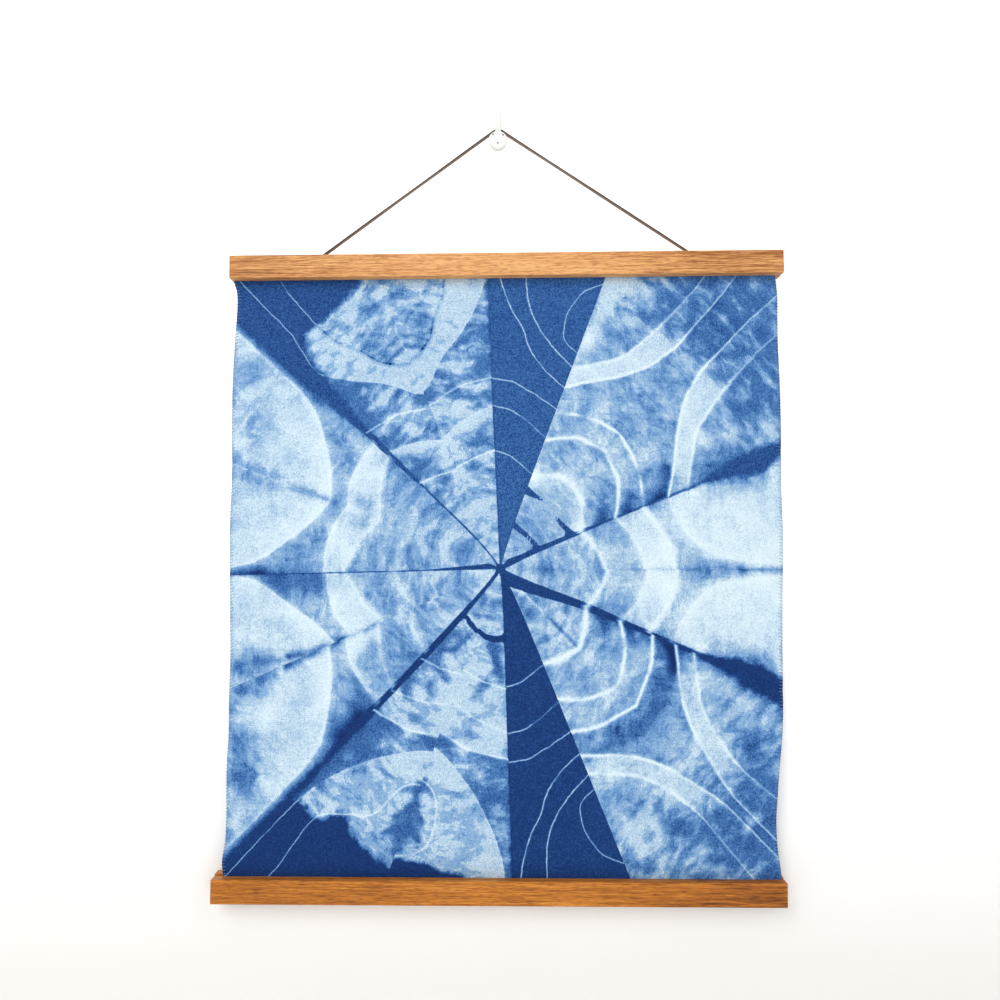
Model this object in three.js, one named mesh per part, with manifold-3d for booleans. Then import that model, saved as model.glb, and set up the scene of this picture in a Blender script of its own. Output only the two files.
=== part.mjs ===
// A folded-and-dyed cotton cloth held between two pairs of wooden slats.
// A leather cord carries the top pair over a small wall hook with a round front.
// Millimetres, +Z up. The front faces -Y and the wall is the plane y = 0.
// The origin is the centre of the hook's back face.

import * as THREE from "three";
import { mergeVertices } from "three/addons/utils/BufferGeometryUtils.js";
import Module from "manifold-3d";

// Driving dimensions of the slats and of the layers from the wall to the front
const SLAT_LENGTH = 470;
const SLAT_HEIGHT = 19.5;
const SLAT_THICKNESS = 9;
const SLAT_EASED_EDGE = 0.6;
const WALL_CLEARANCE = 0.5;
const PIECE_GAP = 0.3;
const CLOTH_THICKNESS = 1;
const REAR_SLAT_Y = -(WALL_CLEARANCE + SLAT_THICKNESS / 2);
const LAYER_STEP = (SLAT_THICKNESS + CLOTH_THICKNESS) / 2 + PIECE_GAP;
const CLOTH_Y = REAR_SLAT_Y - LAYER_STEP;
const FRONT_SLAT_Y = CLOTH_Y - LAYER_STEP;

// Middles of the two slat pairs, and the turn of each in degrees, right end up
const TOP_PAIR = { x: 7.9, z: -113.5, tilt: 0.89 };
const BOTTOM_PAIR = { x: 4.2, z: -634.9, tilt: 0 };
const BOTTOM_REAR_RISE = 1.2;

// Driving dimensions of the hook
const HOOK = {
  baseRadius: 7.2,
  baseThickness: 1.6,
  discRadius: 8.2,
  discRim: 0.8,
  discRimFlat: 0.25,
  discBackY: -5.5,
  discFrontY: -7.9,
  stemWidth: 5.2,
  stemTop: 27.5,
  stemBackY: -5.7,
  stemFrontY: -7.5,
  pegX: 0.1,
  pegZ: 4,
  pegRadius: 4.8,
  sides: 32,
  stemTopSides: 8,
};

// The leather cord, and the points that its middle passes from the left end to the right
const CORD_DIAMETER = 2.6;
const CORD_SIDES = 8;
const CORD_STEPS_PER_POINT = 3;
const CORD_HOLE_RADIUS = 1.75;
const CORD_HOLE_DEPTH = 10.5;
const CORD_HOLE_SIDES = 12;
const CORD_ROUTE = [
  [-163.6, -5.0, -112.4],
  [-155.6, -5.0, -106.3],
  [-136.0, -4.9, -91.4],
  [-110.0, -4.7, -71.6],
  [-84.0, -4.4, -51.8],
  [-58.0, -4.1, -32.1],
  [-34.0, -3.8, -13.8],
  [-14.0, -3.6, 1.4],
  [-7.0, -3.5, 6.7],
  [-3.8, -3.5, 9.1],
  [-1.9, -3.5, 10.1],
  [0.1, -3.5, 10.5],
  [2.0, -3.5, 10.2],
  [3.7, -3.5, 9.4],
  [7.0, -3.5, 7.2],
  [14.0, -3.6, 2.5],
  [36.0, -3.8, -12.1],
  [62.0, -4.1, -29.3],
  [90.0, -4.4, -47.9],
  [118.0, -4.7, -66.5],
  [146.0, -4.9, -85.0],
  [170.4, -5.0, -101.2],
  [178.7, -5.0, -106.7],
];

// The cloth's side edges from top to bottom, and how far each edge curls to the front
const CLOTH_EDGES = [
  { z: -100, left: -228.0, right: 238.0, leftCurl: 0, rightCurl: 0 },
  { z: -124, left: -226.5, right: 238.4, leftCurl: 0, rightCurl: 0 },
  { z: -137, left: -222.6, right: 239.6, leftCurl: 0.6, rightCurl: 0.2 },
  { z: -176, left: -222.8, right: 239.2, leftCurl: 2.2, rightCurl: 1.4 },
  { z: -220, left: -224.2, right: 240.2, leftCurl: 1.2, rightCurl: 2.4 },
  { z: -264, left: -224.3, right: 241.1, leftCurl: -0.8, rightCurl: 1.0 },
  { z: -300, left: -223.9, right: 241.2, leftCurl: -1.6, rightCurl: -0.9 },
  { z: -336, left: -224.0, right: 242.3, leftCurl: 0.4, rightCurl: -1.8 },
  { z: -374, left: -222.4, right: 240.9, leftCurl: 1.8, rightCurl: 0.2 },
  { z: -412, left: -221.5, right: 239.8, leftCurl: 2.4, rightCurl: 1.6 },
  { z: -445, left: -220.6, right: 239.3, leftCurl: 2.6, rightCurl: 1.9 },
  { z: -478, left: -221.7, right: 239.9, leftCurl: 1.0, rightCurl: 0.6 },
  { z: -508, left: -221.7, right: 238.5, leftCurl: -0.6, rightCurl: 1.4 },
  { z: -538, left: -222.3, right: 235.0, leftCurl: 0.8, rightCurl: 3.4 },
  { z: -572, left: -221.4, right: 232.6, leftCurl: 2.2, rightCurl: 4.2 },
  { z: -598, left: -222.3, right: 234.0, leftCurl: 1.2, rightCurl: 2.2 },
  { z: -614, left: -224.6, right: 236.0, leftCurl: 0.3, rightCurl: 0.6 },
  { z: -626, left: -223.4, right: 237.4, leftCurl: 0, rightCurl: 0 },
  { z: -650, left: -223.4, right: 237.6, leftCurl: 0, rightCurl: 0 },
];
const CURL_REACH = 22;

// The pressed folds fan out from one point. Lift is to the front, and a valley has a minus sign.
const FOLD_CENTRE = { x: 4.2, z: -371 };
const FOLDS = [
  { angle: 0.0, lift: 1.1 },
  { angle: 23.0, lift: -1.5 },
  { angle: 46.0, lift: 1.2 },
  { angle: 70.1, lift: -1.3 },
  { angle: 93.0, lift: 1.4 },
  { angle: 114.0, lift: -1.0 },
  { angle: 136.0, lift: 1.7 },
  { angle: 158.8, lift: -1.1 },
  { angle: 181.0, lift: 1.5 },
  { angle: 204.3, lift: -1.1 },
  { angle: 227.7, lift: 1.7 },
  { angle: 250.0, lift: -1.0 },
  { angle: 272.4, lift: 1.4 },
  { angle: 292.8, lift: -1.4 },
  { angle: 315.0, lift: 1.1 },
  { angle: 337.0, lift: -1.5 },
];
const FOLD_REACH = 7;
const FOLD_CENTRE_CALM = 45;

// Soft swells of the hanging cloth, each with its middle, lift and reach
const SWELLS = [
  { x: -40, z: -330, lift: 2.4, reach: 150 },
  { x: 150, z: -470, lift: 2.0, reach: 110 },
  { x: -150, z: -520, lift: -1.6, reach: 80 },
  { x: 120, z: -200, lift: -1.2, reach: 70 },
  { x: -120, z: -190, lift: 1.3, reach: 60 },
  { x: 30, z: -560, lift: 1.5, reach: 70 },
];

// How the cloth's surface is divided, and the flat margins where the slats hold it
const SPOKES_PER_FOLD = 8;
const RINGS = 11;
const HELD_INSET = 2;
const HELD_MARGIN = 15;
const HELD_FADE = 60;
const OUTLINE_HALVINGS = 40;

// Points of one solid that lie closer than this are one point
const MERGE_DISTANCE = 1e-4;

const COTTON = { color: 0x3f73b0, roughness: 0.95, metalness: 0 };
const OILED_WOOD = { color: 0xc98a4e, roughness: 0.6, metalness: 0 };
const LEATHER = { color: 0x4f3a31, roughness: 0.7, metalness: 0 };
const WHITE_PLASTIC = { color: 0xf4f4f1, roughness: 0.35, metalness: 0 };

const wasm = await Module();
wasm.setup();

// Solids for cutting and joining
function toSolid(geometry) {
  const bare = geometry.index ? geometry.toNonIndexed() : geometry.clone();
  bare.deleteAttribute("normal");
  bare.deleteAttribute("uv");
  const merged = mergeVertices(bare, MERGE_DISTANCE);
  return new wasm.Manifold(
    new wasm.Mesh({
      numProp: 3,
      vertProperties: Float32Array.from(merged.attributes.position.array),
      triVerts: Uint32Array.from(merged.index.array),
    }),
  );
}

function toGeometry(solid) {
  const mesh = solid.getMesh();
  const geometry = new THREE.BufferGeometry();
  geometry.setAttribute("position", new THREE.BufferAttribute(Float32Array.from(mesh.vertProperties), 3));
  geometry.setIndex(new THREE.BufferAttribute(Uint32Array.from(mesh.triVerts), 1));
  geometry.computeVertexNormals();
  return geometry;
}

function finished(name, geometry, look) {
  const mesh = new THREE.Mesh(geometry, new THREE.MeshStandardMaterial(look));
  mesh.name = name;
  return mesh;
}

// A slat is its section with eased long edges, drawn out along X about its own middle
function slatGeometry() {
  const halfHeight = SLAT_HEIGHT / 2;
  const halfThickness = SLAT_THICKNESS / 2;
  const ease = SLAT_EASED_EDGE;
  const section = new THREE.Shape([
    new THREE.Vector2(-halfHeight + ease, -halfThickness),
    new THREE.Vector2(halfHeight - ease, -halfThickness),
    new THREE.Vector2(halfHeight, -halfThickness + ease),
    new THREE.Vector2(halfHeight, halfThickness - ease),
    new THREE.Vector2(halfHeight - ease, halfThickness),
    new THREE.Vector2(-halfHeight + ease, halfThickness),
    new THREE.Vector2(-halfHeight, halfThickness - ease),
    new THREE.Vector2(-halfHeight, -halfThickness + ease),
  ]);
  const bar = new THREE.ExtrudeGeometry(section, { depth: SLAT_LENGTH, bevelEnabled: false });
  bar.translate(0, 0, -SLAT_LENGTH / 2);
  bar.rotateY(Math.PI / 2);
  return bar;
}

// A round cutter that runs from the cord's end past the slat's top edge, in the slat's own frame
function cordHoleCutter(end, mouth, slatMiddle, tilt) {
  const toSlat = new THREE.Matrix4().makeRotationY(tilt);
  const inner = new THREE.Vector3(...end).sub(slatMiddle).applyMatrix4(toSlat);
  const outer = new THREE.Vector3(...mouth).sub(slatMiddle).applyMatrix4(toSlat);
  const along = outer.clone().sub(inner).normalize();
  const start = outer.clone().addScaledVector(along, -CORD_HOLE_DEPTH);
  const length = 2 * CORD_HOLE_DEPTH;
  const cutter = new THREE.CylinderGeometry(CORD_HOLE_RADIUS, CORD_HOLE_RADIUS, length, CORD_HOLE_SIDES);
  cutter.translate(0, length / 2, 0);
  cutter.applyQuaternion(new THREE.Quaternion().setFromUnitVectors(new THREE.Vector3(0, 1, 0), along));
  cutter.translate(start.x, start.y, start.z);
  return toSolid(cutter);
}

function slatPair(pair, rearGeometry, name, rearRise) {
  const group = new THREE.Group();
  group.position.set(pair.x, 0, pair.z);
  group.rotation.y = THREE.MathUtils.degToRad(-pair.tilt);
  const front = finished(`${name}_front_slat`, slatGeometry(), OILED_WOOD);
  front.position.y = FRONT_SLAT_Y;
  const rear = finished(`${name}_rear_slat`, rearGeometry, OILED_WOOD);
  rear.position.set(0, REAR_SLAT_Y, rearRise);
  group.add(front, rear);
  return group;
}

function topRearSlatGeometry() {
  const middle = new THREE.Vector3(TOP_PAIR.x, REAR_SLAT_Y, TOP_PAIR.z);
  const tilt = THREE.MathUtils.degToRad(TOP_PAIR.tilt);
  const last = CORD_ROUTE.length - 1;
  const left = cordHoleCutter(CORD_ROUTE[0], CORD_ROUTE[1], middle, tilt);
  const right = cordHoleCutter(CORD_ROUTE[last], CORD_ROUTE[last - 1], middle, tilt);
  return toGeometry(toSolid(slatGeometry()).subtract(left).subtract(right));
}

// The hook is a base on the wall, a peg, a round front with a softened rim and a tall stem
function hookGeometry() {
  const base = new THREE.CylinderGeometry(HOOK.baseRadius, HOOK.baseRadius, HOOK.baseThickness, HOOK.sides);
  base.translate(0, -HOOK.baseThickness / 2, 0);
  const pegLength = -HOOK.discBackY + HOOK.discRim;
  const peg = new THREE.CylinderGeometry(HOOK.pegRadius, HOOK.pegRadius, pegLength, HOOK.sides);
  peg.translate(HOOK.pegX, -pegLength / 2, HOOK.pegZ);
  const disc = new THREE.LatheGeometry(
    [
      new THREE.Vector2(0, HOOK.discFrontY),
      new THREE.Vector2(HOOK.discRadius - HOOK.discRim, HOOK.discFrontY),
      new THREE.Vector2(HOOK.discRadius - HOOK.discRimFlat, HOOK.discFrontY + HOOK.discRimFlat),
      new THREE.Vector2(HOOK.discRadius, HOOK.discFrontY + HOOK.discRim),
      new THREE.Vector2(HOOK.discRadius, HOOK.discBackY),
      new THREE.Vector2(0, HOOK.discBackY),
    ],
    HOOK.sides,
  );
  const half = HOOK.stemWidth / 2;
  const outline = new THREE.Shape();
  outline.moveTo(-half, 0);
  outline.lineTo(half, 0);
  outline.lineTo(half, HOOK.stemTop - half);
  outline.absarc(0, HOOK.stemTop - half, half, 0, Math.PI, false);
  const stem = new THREE.ExtrudeGeometry(outline, {
    depth: HOOK.stemBackY - HOOK.stemFrontY,
    bevelEnabled: false,
    curveSegments: HOOK.stemTopSides,
  });
  stem.rotateX(Math.PI / 2);
  stem.translate(0, HOOK.stemBackY, 0);
  return toGeometry(toSolid(base).add(toSolid(peg)).add(toSolid(disc)).add(toSolid(stem)));
}

// The cord's steps stand closer where its points do, so that it bends smoothly over the peg
class PointSpacedCurve extends THREE.CatmullRomCurve3 {
  getUtoTmapping(u) {
    return u;
  }
}

function cordGeometry() {
  const points = CORD_ROUTE.map((point) => new THREE.Vector3(...point));
  const path = new PointSpacedCurve(points, false, "centripetal");
  const section = new THREE.Shape();
  for (let side = 0; side < CORD_SIDES; side += 1) {
    const turn = (2 * Math.PI * side) / CORD_SIDES;
    const x = (CORD_DIAMETER / 2) * Math.cos(turn);
    const y = (CORD_DIAMETER / 2) * Math.sin(turn);
    if (side === 0) section.moveTo(x, y);
    else section.lineTo(x, y);
  }
  section.closePath();
  const steps = CORD_STEPS_PER_POINT * (CORD_ROUTE.length - 1);
  return new THREE.ExtrudeGeometry(section, { steps, bevelEnabled: false, extrudePath: path });
}

// One column of the edge table at a height, straight between its rows
function edgeAt(z, column) {
  let row = 1;
  while (row < CLOTH_EDGES.length - 1 && CLOTH_EDGES[row].z > z) row += 1;
  const above = CLOTH_EDGES[row - 1];
  const below = CLOTH_EDGES[row];
  const share = THREE.MathUtils.clamp((above.z - z) / (above.z - below.z), 0, 1);
  return THREE.MathUtils.lerp(above[column], below[column], share);
}

// Height of a line along the top pair, at an offset from the pair's middle line
function alongTop(x, offset) {
  return TOP_PAIR.z + offset + (x - TOP_PAIR.x) * Math.tan(THREE.MathUtils.degToRad(TOP_PAIR.tilt));
}

// 0 where the slats hold the cloth flat, and 1 where it hangs free
function freedom(x, z) {
  const fromTop = alongTop(x, -SLAT_HEIGHT / 2) - z;
  const fromBottom = z - (BOTTOM_PAIR.z + SLAT_HEIGHT / 2);
  const nearest = Math.min(fromTop, fromBottom) - HELD_MARGIN;
  return THREE.MathUtils.smoothstep(nearest, 0, HELD_FADE);
}

// How far the cloth's middle stands to the front of the slats' parting plane
function clothLift(x, z) {
  const dx = x - FOLD_CENTRE.x;
  const dz = z - FOLD_CENTRE.z;
  const radius = Math.hypot(dx, dz);
  let lift = 0;
  for (const fold of FOLDS) {
    const angle = THREE.MathUtils.degToRad(fold.angle);
    const along = dx * Math.cos(angle) + dz * Math.sin(angle);
    const aside = Math.abs(dz * Math.cos(angle) - dx * Math.sin(angle));
    if (along > 0) lift += fold.lift * Math.exp(-aside / FOLD_REACH);
  }
  lift *= THREE.MathUtils.smoothstep(radius, 0, FOLD_CENTRE_CALM);
  for (const swell of SWELLS) {
    const away = Math.hypot(x - swell.x, z - swell.z) / swell.reach;
    lift += swell.lift * Math.exp(-away * away);
  }
  const fromLeft = (x - edgeAt(z, "left")) / CURL_REACH;
  const fromRight = (edgeAt(z, "right") - x) / CURL_REACH;
  lift += edgeAt(z, "leftCurl") * Math.exp(-fromLeft * fromLeft);
  lift += edgeAt(z, "rightCurl") * Math.exp(-fromRight * fromRight);
  return lift * freedom(x, z);
}

function insideCloth(x, z) {
  const top = alongTop(x, SLAT_HEIGHT / 2 - HELD_INSET);
  const bottom = BOTTOM_PAIR.z - SLAT_HEIGHT / 2 + HELD_INSET;
  return z < top && z > bottom && x > edgeAt(z, "left") && x < edgeAt(z, "right");
}

// Distance from the fold centre to the outline in one direction, by halving
function outlineRadius(angle) {
  let inner = 0;
  let outer = SLAT_LENGTH;
  for (let pass = 0; pass < OUTLINE_HALVINGS; pass += 1) {
    const middle = (inner + outer) / 2;
    const x = FOLD_CENTRE.x + middle * Math.cos(angle);
    const z = FOLD_CENTRE.z + middle * Math.sin(angle);
    if (insideCloth(x, z)) inner = middle;
    else outer = middle;
  }
  return inner;
}

// The directions from the fold centre to the cloth's four corners
function cornerAngles() {
  const topZ = (side) => alongTop(edgeAt(TOP_PAIR.z, side), SLAT_HEIGHT / 2 - HELD_INSET);
  const bottomZ = BOTTOM_PAIR.z - SLAT_HEIGHT / 2 + HELD_INSET;
  const corners = [];
  for (const side of ["left", "right"]) {
    for (const z of [topZ(side), bottomZ]) {
      const angle = Math.atan2(z - FOLD_CENTRE.z, edgeAt(z, side) - FOLD_CENTRE.x);
      corners.push((angle + 2 * Math.PI) % (2 * Math.PI));
    }
  }
  return corners;
}

// Spokes run along every fold and between them, and the nearest one moves to each corner
function spokeAngles() {
  const angles = [];
  FOLDS.forEach((fold, index) => {
    const start = fold.angle;
    const end = index + 1 < FOLDS.length ? FOLDS[index + 1].angle : FOLDS[0].angle + 360;
    for (let part = 0; part < SPOKES_PER_FOLD; part += 1) {
      angles.push(THREE.MathUtils.degToRad(start + ((end - start) * part) / SPOKES_PER_FOLD));
    }
  });
  for (const corner of cornerAngles()) {
    let nearest = 1;
    angles.forEach((angle, index) => {
      const onFold = index % SPOKES_PER_FOLD === 0;
      if (!onFold && Math.abs(angle - corner) < Math.abs(angles[nearest] - corner)) nearest = index;
    });
    angles[nearest] = corner;
  }
  return angles;
}

// One side of the cloth: the fold centre, then ring after ring out to the rim
function clothSidePoints(angles, offset) {
  const reaches = angles.map(outlineRadius);
  const points = [];
  const place = (x, z) => points.push(x, CLOTH_Y - clothLift(x, z) + offset, z);
  place(FOLD_CENTRE.x, FOLD_CENTRE.z);
  for (let ring = 1; ring <= RINGS; ring += 1) {
    angles.forEach((angle, spoke) => {
      const radius = (reaches[spoke] * ring) / RINGS;
      place(FOLD_CENTRE.x + radius * Math.cos(angle), FOLD_CENTRE.z + radius * Math.sin(angle));
    });
  }
  return points;
}

// The front side, the back side and the narrow edge between them, spoke by spoke
function clothFaces(spokes) {
  const perSide = 1 + spokes * RINGS;
  const faces = [];
  for (let spoke = 0; spoke < spokes; spoke += 1) {
    const next = (spoke + 1) % spokes;
    const ringPair = (ring) => [1 + (ring - 1) * spokes + spoke, 1 + (ring - 1) * spokes + next];
    const [first, second] = ringPair(1);
    faces.push(0, first, second);
    faces.push(perSide, perSide + second, perSide + first);
    for (let ring = 1; ring < RINGS; ring += 1) {
      const [a, d] = ringPair(ring);
      const [b, c] = ringPair(ring + 1);
      faces.push(a, b, c, a, c, d);
      faces.push(perSide + a, perSide + c, perSide + b, perSide + a, perSide + d, perSide + c);
    }
    const [rim, rimNext] = ringPair(RINGS);
    faces.push(rim, perSide + rim, perSide + rimNext, rim, perSide + rimNext, rimNext);
  }
  return faces;
}

function clothGeometry() {
  const angles = spokeAngles();
  const front = clothSidePoints(angles, -CLOTH_THICKNESS / 2);
  const back = clothSidePoints(angles, CLOTH_THICKNESS / 2);
  const geometry = new THREE.BufferGeometry();
  geometry.setAttribute("position", new THREE.Float32BufferAttribute([...front, ...back], 3));
  geometry.setIndex(clothFaces(angles.length));
  geometry.computeVertexNormals();
  return geometry;
}

const hanging = new THREE.Group();
hanging.add(finished("wall_hook", hookGeometry(), WHITE_PLASTIC));
hanging.add(finished("hanging_cord", cordGeometry(), LEATHER));
hanging.add(slatPair(TOP_PAIR, topRearSlatGeometry(), "top", 0));
hanging.add(slatPair(BOTTOM_PAIR, slatGeometry(), "bottom", BOTTOM_REAR_RISE));
hanging.add(finished("dyed_cloth", clothGeometry(), COTTON));

export default hanging;
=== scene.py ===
"""A fold-dyed cotton wall hanging between wooden slats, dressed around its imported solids.

Frame: metres, +Z up, the wall is the plane y = 0 and the front faces -Y.
The tables hold millimetres, and MM turns them into metres.
"""

import math
from collections import namedtuple

import bpy
import numpy as np
from mathutils import Matrix, Vector


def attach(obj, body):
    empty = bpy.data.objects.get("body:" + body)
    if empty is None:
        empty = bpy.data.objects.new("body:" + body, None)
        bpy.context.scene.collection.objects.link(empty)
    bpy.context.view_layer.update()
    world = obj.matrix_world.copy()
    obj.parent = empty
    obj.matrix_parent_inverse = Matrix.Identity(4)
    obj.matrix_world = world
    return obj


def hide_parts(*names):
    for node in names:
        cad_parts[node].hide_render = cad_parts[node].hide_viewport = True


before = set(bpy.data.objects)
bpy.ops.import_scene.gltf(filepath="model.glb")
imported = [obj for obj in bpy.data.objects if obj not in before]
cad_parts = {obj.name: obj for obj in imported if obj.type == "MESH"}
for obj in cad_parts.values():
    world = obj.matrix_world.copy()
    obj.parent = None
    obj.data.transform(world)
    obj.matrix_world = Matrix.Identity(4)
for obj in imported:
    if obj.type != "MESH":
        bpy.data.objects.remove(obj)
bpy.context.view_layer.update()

MM = 0.001

# The camera stands where the picture was taken from
CAMERA_PLACE = (0.00538, -0.74769, -0.35493)
CAMERA_YAW, CAMERA_PITCH, CAMERA_ROLL = 0.1469, 3.2279, -0.3037
FOCAL_LENGTH, SENSOR_WIDTH = 31.463, 36.0

# The leather cord: its size, how its section leans and rocks about its middle line in radians, and the
# points that this line passes from the left end to the right
CORD_WIDTH, CORD_THICKNESS = 2.6, 1.8
CORD_SIDES, CORD_POWER = 20, 3.4
CORD_LEAN, CORD_ROCK, CORD_ROCK_LENGTH = 2.1, 0.3, 150.0
CORD_ROUTE = (
    (-163.6, -5, -112.4), (-155.6, -5, -106.3), (-136, -4.9, -91.4), (-110, -4.7, -71.6),
    (-84, -4.4, -51.8), (-58, -4.1, -32.1), (-34, -3.8, -13.8), (-14, -3.6, 1.4), (-7, -3.5, 6.7),
    (-3.8, -3.5, 9.1), (-1.9, -3.5, 10.1), (0.1, -3.5, 10.5), (2, -3.5, 10.2), (3.7, -3.5, 9.4),
    (7, -3.5, 7.2), (14, -3.6, 2.5), (36, -3.8, -12.1), (62, -4.1, -29.3), (90, -4.4, -47.9),
    (118, -4.7, -66.5), (146, -4.9, -85), (170.4, -5, -101.2), (178.7, -5, -106.7),
)

# Slats: the middle of each in the frame, and the turn of the top pair, right end up
SLAT_LENGTH, SLAT_HEIGHT, SLAT_THICKNESS, SLAT_ROUNDING = 470.0, 19.5, 9.0, 0.5
REAR_SLAT_Y, FRONT_SLAT_Y = -5.0, -15.6
TOP_MIDDLE = (7.9, -113.5)
TOP_TILT = 0.89
BOTTOM_MIDDLE = (4.2, -634.9)
BOTTOM_REAR_RISE = 1.2
CORD_HOLE_RADIUS, CORD_HOLE_DEPTH, CORD_HOLE_LEAD = 1.75, 10.5, 6.0

# Wood: its light, middle and deep tone, and how much darker the left and right ends are
TOP_WOOD = ((238, 186, 128), (224, 163, 102), (150, 90, 38)), (0.15, 0.15)
BOTTOM_WOOD = ((214, 144, 60), (186, 112, 34), (110, 54, 2)), (0.05, 0.16)

# Hook: depths are along Y, and places are x and z
HOOK_BASE_RADIUS, HOOK_BASE_THICKNESS = 7.2, 1.6
HOOK_DISC_RADIUS, HOOK_DISC_RIM = 8.2, 1.15
HOOK_DISC_BACK, HOOK_DISC_FRONT = -5.5, -7.9
HOOK_DISH = ((4.0, 0.12), (6.4, 0.1), (6.9, 0.0))
HOOK_STEM_WIDTH, HOOK_STEM_TOP, HOOK_STEM_FOOT = 5.2, 27.5, -2.0
HOOK_STEM_BACK, HOOK_STEM_FRONT = -5.7, -7.5
HOOK_PEG_PLACE, HOOK_PEG_RADIUS = (0.1, 4.0), 4.8
HOOK_PINS = ((-4.4, 4.9), (4.5, 4.5), (-0.1, -2.7))
PIN_RADIUS, PIN_STAND = 0.9, 0.35

# Stage and light, in metres
WALL_Y, FLOOR_Z, WALL_HALF_WIDTH, WALL_TOP, FLOOR_REACH = 0.0003, -0.95, 2.5, 1.6, 3.0
LIGHT_TARGET = (0, 0, -0.35)

# Cloth: its middle layer, its outline from top to bottom, and how far each side curls to the front
CLOTH_Y, CLOTH_THICKNESS = -10.3, 0.6
THREAD_PITCH = 0.00085
CLOTH_SIDES = (
    # height, left, right, left curl, right curl
    (-100, -228, 238, 0, 0), (-124, -226.5, 238.4, 0, 0), (-137, -222.6, 239.6, 0.6, 0.2),
    (-176, -222.8, 239.2, 2.2, 1.4), (-220, -224.2, 240.2, 1.2, 2.4), (-264, -224.3, 241.1, -0.8, 1),
    (-300, -223.9, 241.2, -1.6, -0.9), (-336, -224, 242.3, 0.4, -1.8), (-374, -222.4, 240.9, 1.8, 0.2),
    (-412, -221.5, 239.8, 2.4, 1.6), (-445, -220.6, 239.3, 2.6, 1.9), (-478, -221.7, 239.9, 1, 0.6),
    (-508, -221.7, 238.5, -0.6, 1.4), (-538, -222.3, 235, 0.8, 3.4), (-572, -221.4, 232.6, 2.2, 4.2),
    (-598, -222.3, 234, 1.2, 2.2), (-614, -224.6, 236, 0.3, 0.6), (-626, -223.4, 237.4, 0, 0),
    (-650, -223.4, 237.6, 0, 0),
)
CURL_REACH = 22.0
HELD_INSET, HELD_MARGIN, HELD_FADE = 2.0, 15.0, 60.0

# Overlock stitches on both side edges
STITCH_PITCH, STITCH_DEPTH, STITCH_STAND, STITCH_SLANT, STITCH_OVERHANG = 2.7, 2.9, 0.5, 0.6, 0.25
STITCH_STEPS, THREAD_SIDES, THREAD_RADIUS, STITCH_WEAR_REACH = 14, 5, 0.2, 1.1

# Pressed folds: direction in degrees, lift to the front, and how far the line misses the centre
FOLD_CENTRE = (4.2, -371.0)
FOLDS = (
    (0, 1.1, 0), (22.1, -1.5, 3.5), (47.9, 1.2, 3), (69.8, -1.3, 2.8), (92.9, 1.4, 0), (114, -1, 0),
    (137.3, 1.7, -6), (159.7, -1.1, -3.1), (181.7, 1.5, 0.2), (203.9, -1.1, 1.3), (227, 1.7, 3.2),
    (250, -1, 0), (272, 1.4, 2), (292.4, -1.4, 3.4), (315, 1.1, 0), (337.2, -1.5, -1),
)
FOLD_REACH, FOLD_CENTRE_CALM, FOLD_MISS_CALM = 7.0, 45.0, 30.0
SWELLS = (
    # x, z, lift, reach
    (-40, -330, 2.4, 150), (150, -470, 2, 110), (-150, -520, -1.6, 80), (120, -200, -1.2, 70),
    (-120, -190, 1.3, 60), (30, -560, 1.5, 70),
)
CREASES = (
    # from x, z, to x, z, lift, reach
    (-196, -128, -182, -190, 0.5, 5), (-92, -128, -86, -176, 0.4, 6), (60, -128, 66, -170, -0.4, 6),
    (176, -128, 190, -196, 0.5, 5), (-206, -352, -150, -338, 0.5, 4), (-212, -404, -160, -420, -0.45, 5),
    (232, -366, 196, -369, 0.5, 3), (236, -452, 190, -448, 0.45, 4), (-110, -622, -104, -566, 0.45, 6),
    (40, -622, 34, -580, -0.4, 6), (170, -622, 176, -560, 0.5, 5), (214, -612, 206, -552, -0.5, 5),
)
CREASE_START, CREASE_END = (-14, 6), 8

# The cloth was folded into a wedge of sixteen layers, with strings wound round it. Each mark stands in the
# wedge: its radius from the centre, and its share of the way from an even fold (0) to an odd one (1)
SECTORS = np.arange(16)
WEDGE_ANGLE = math.radians(22.5)
RINGS, POINTS_PER_RING = 122, 0.39

# A radius so large that missing the centre no longer turns a fold, and points to a span of a smooth line
FAR = 1e9
CURVE_STEPS, WEDGE_CURVE_STEPS = 12, 8

# One turn of string: its path across the wedge, how much paler its own line is and how wide, and how much
# paler the cloth is inside and outside of it, with the reach of each
String = namedtuple("String", "path line inside outside", defaults=((0, 1), (0, 1)))

# A pair of mirrored sectors: how crisp its dye is near the centre, further out and at the outside, the dye's
# depth inside the first string and past each of them, and its strings
Layers = namedtuple("Layers", "sectors crisp tones strings")

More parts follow.
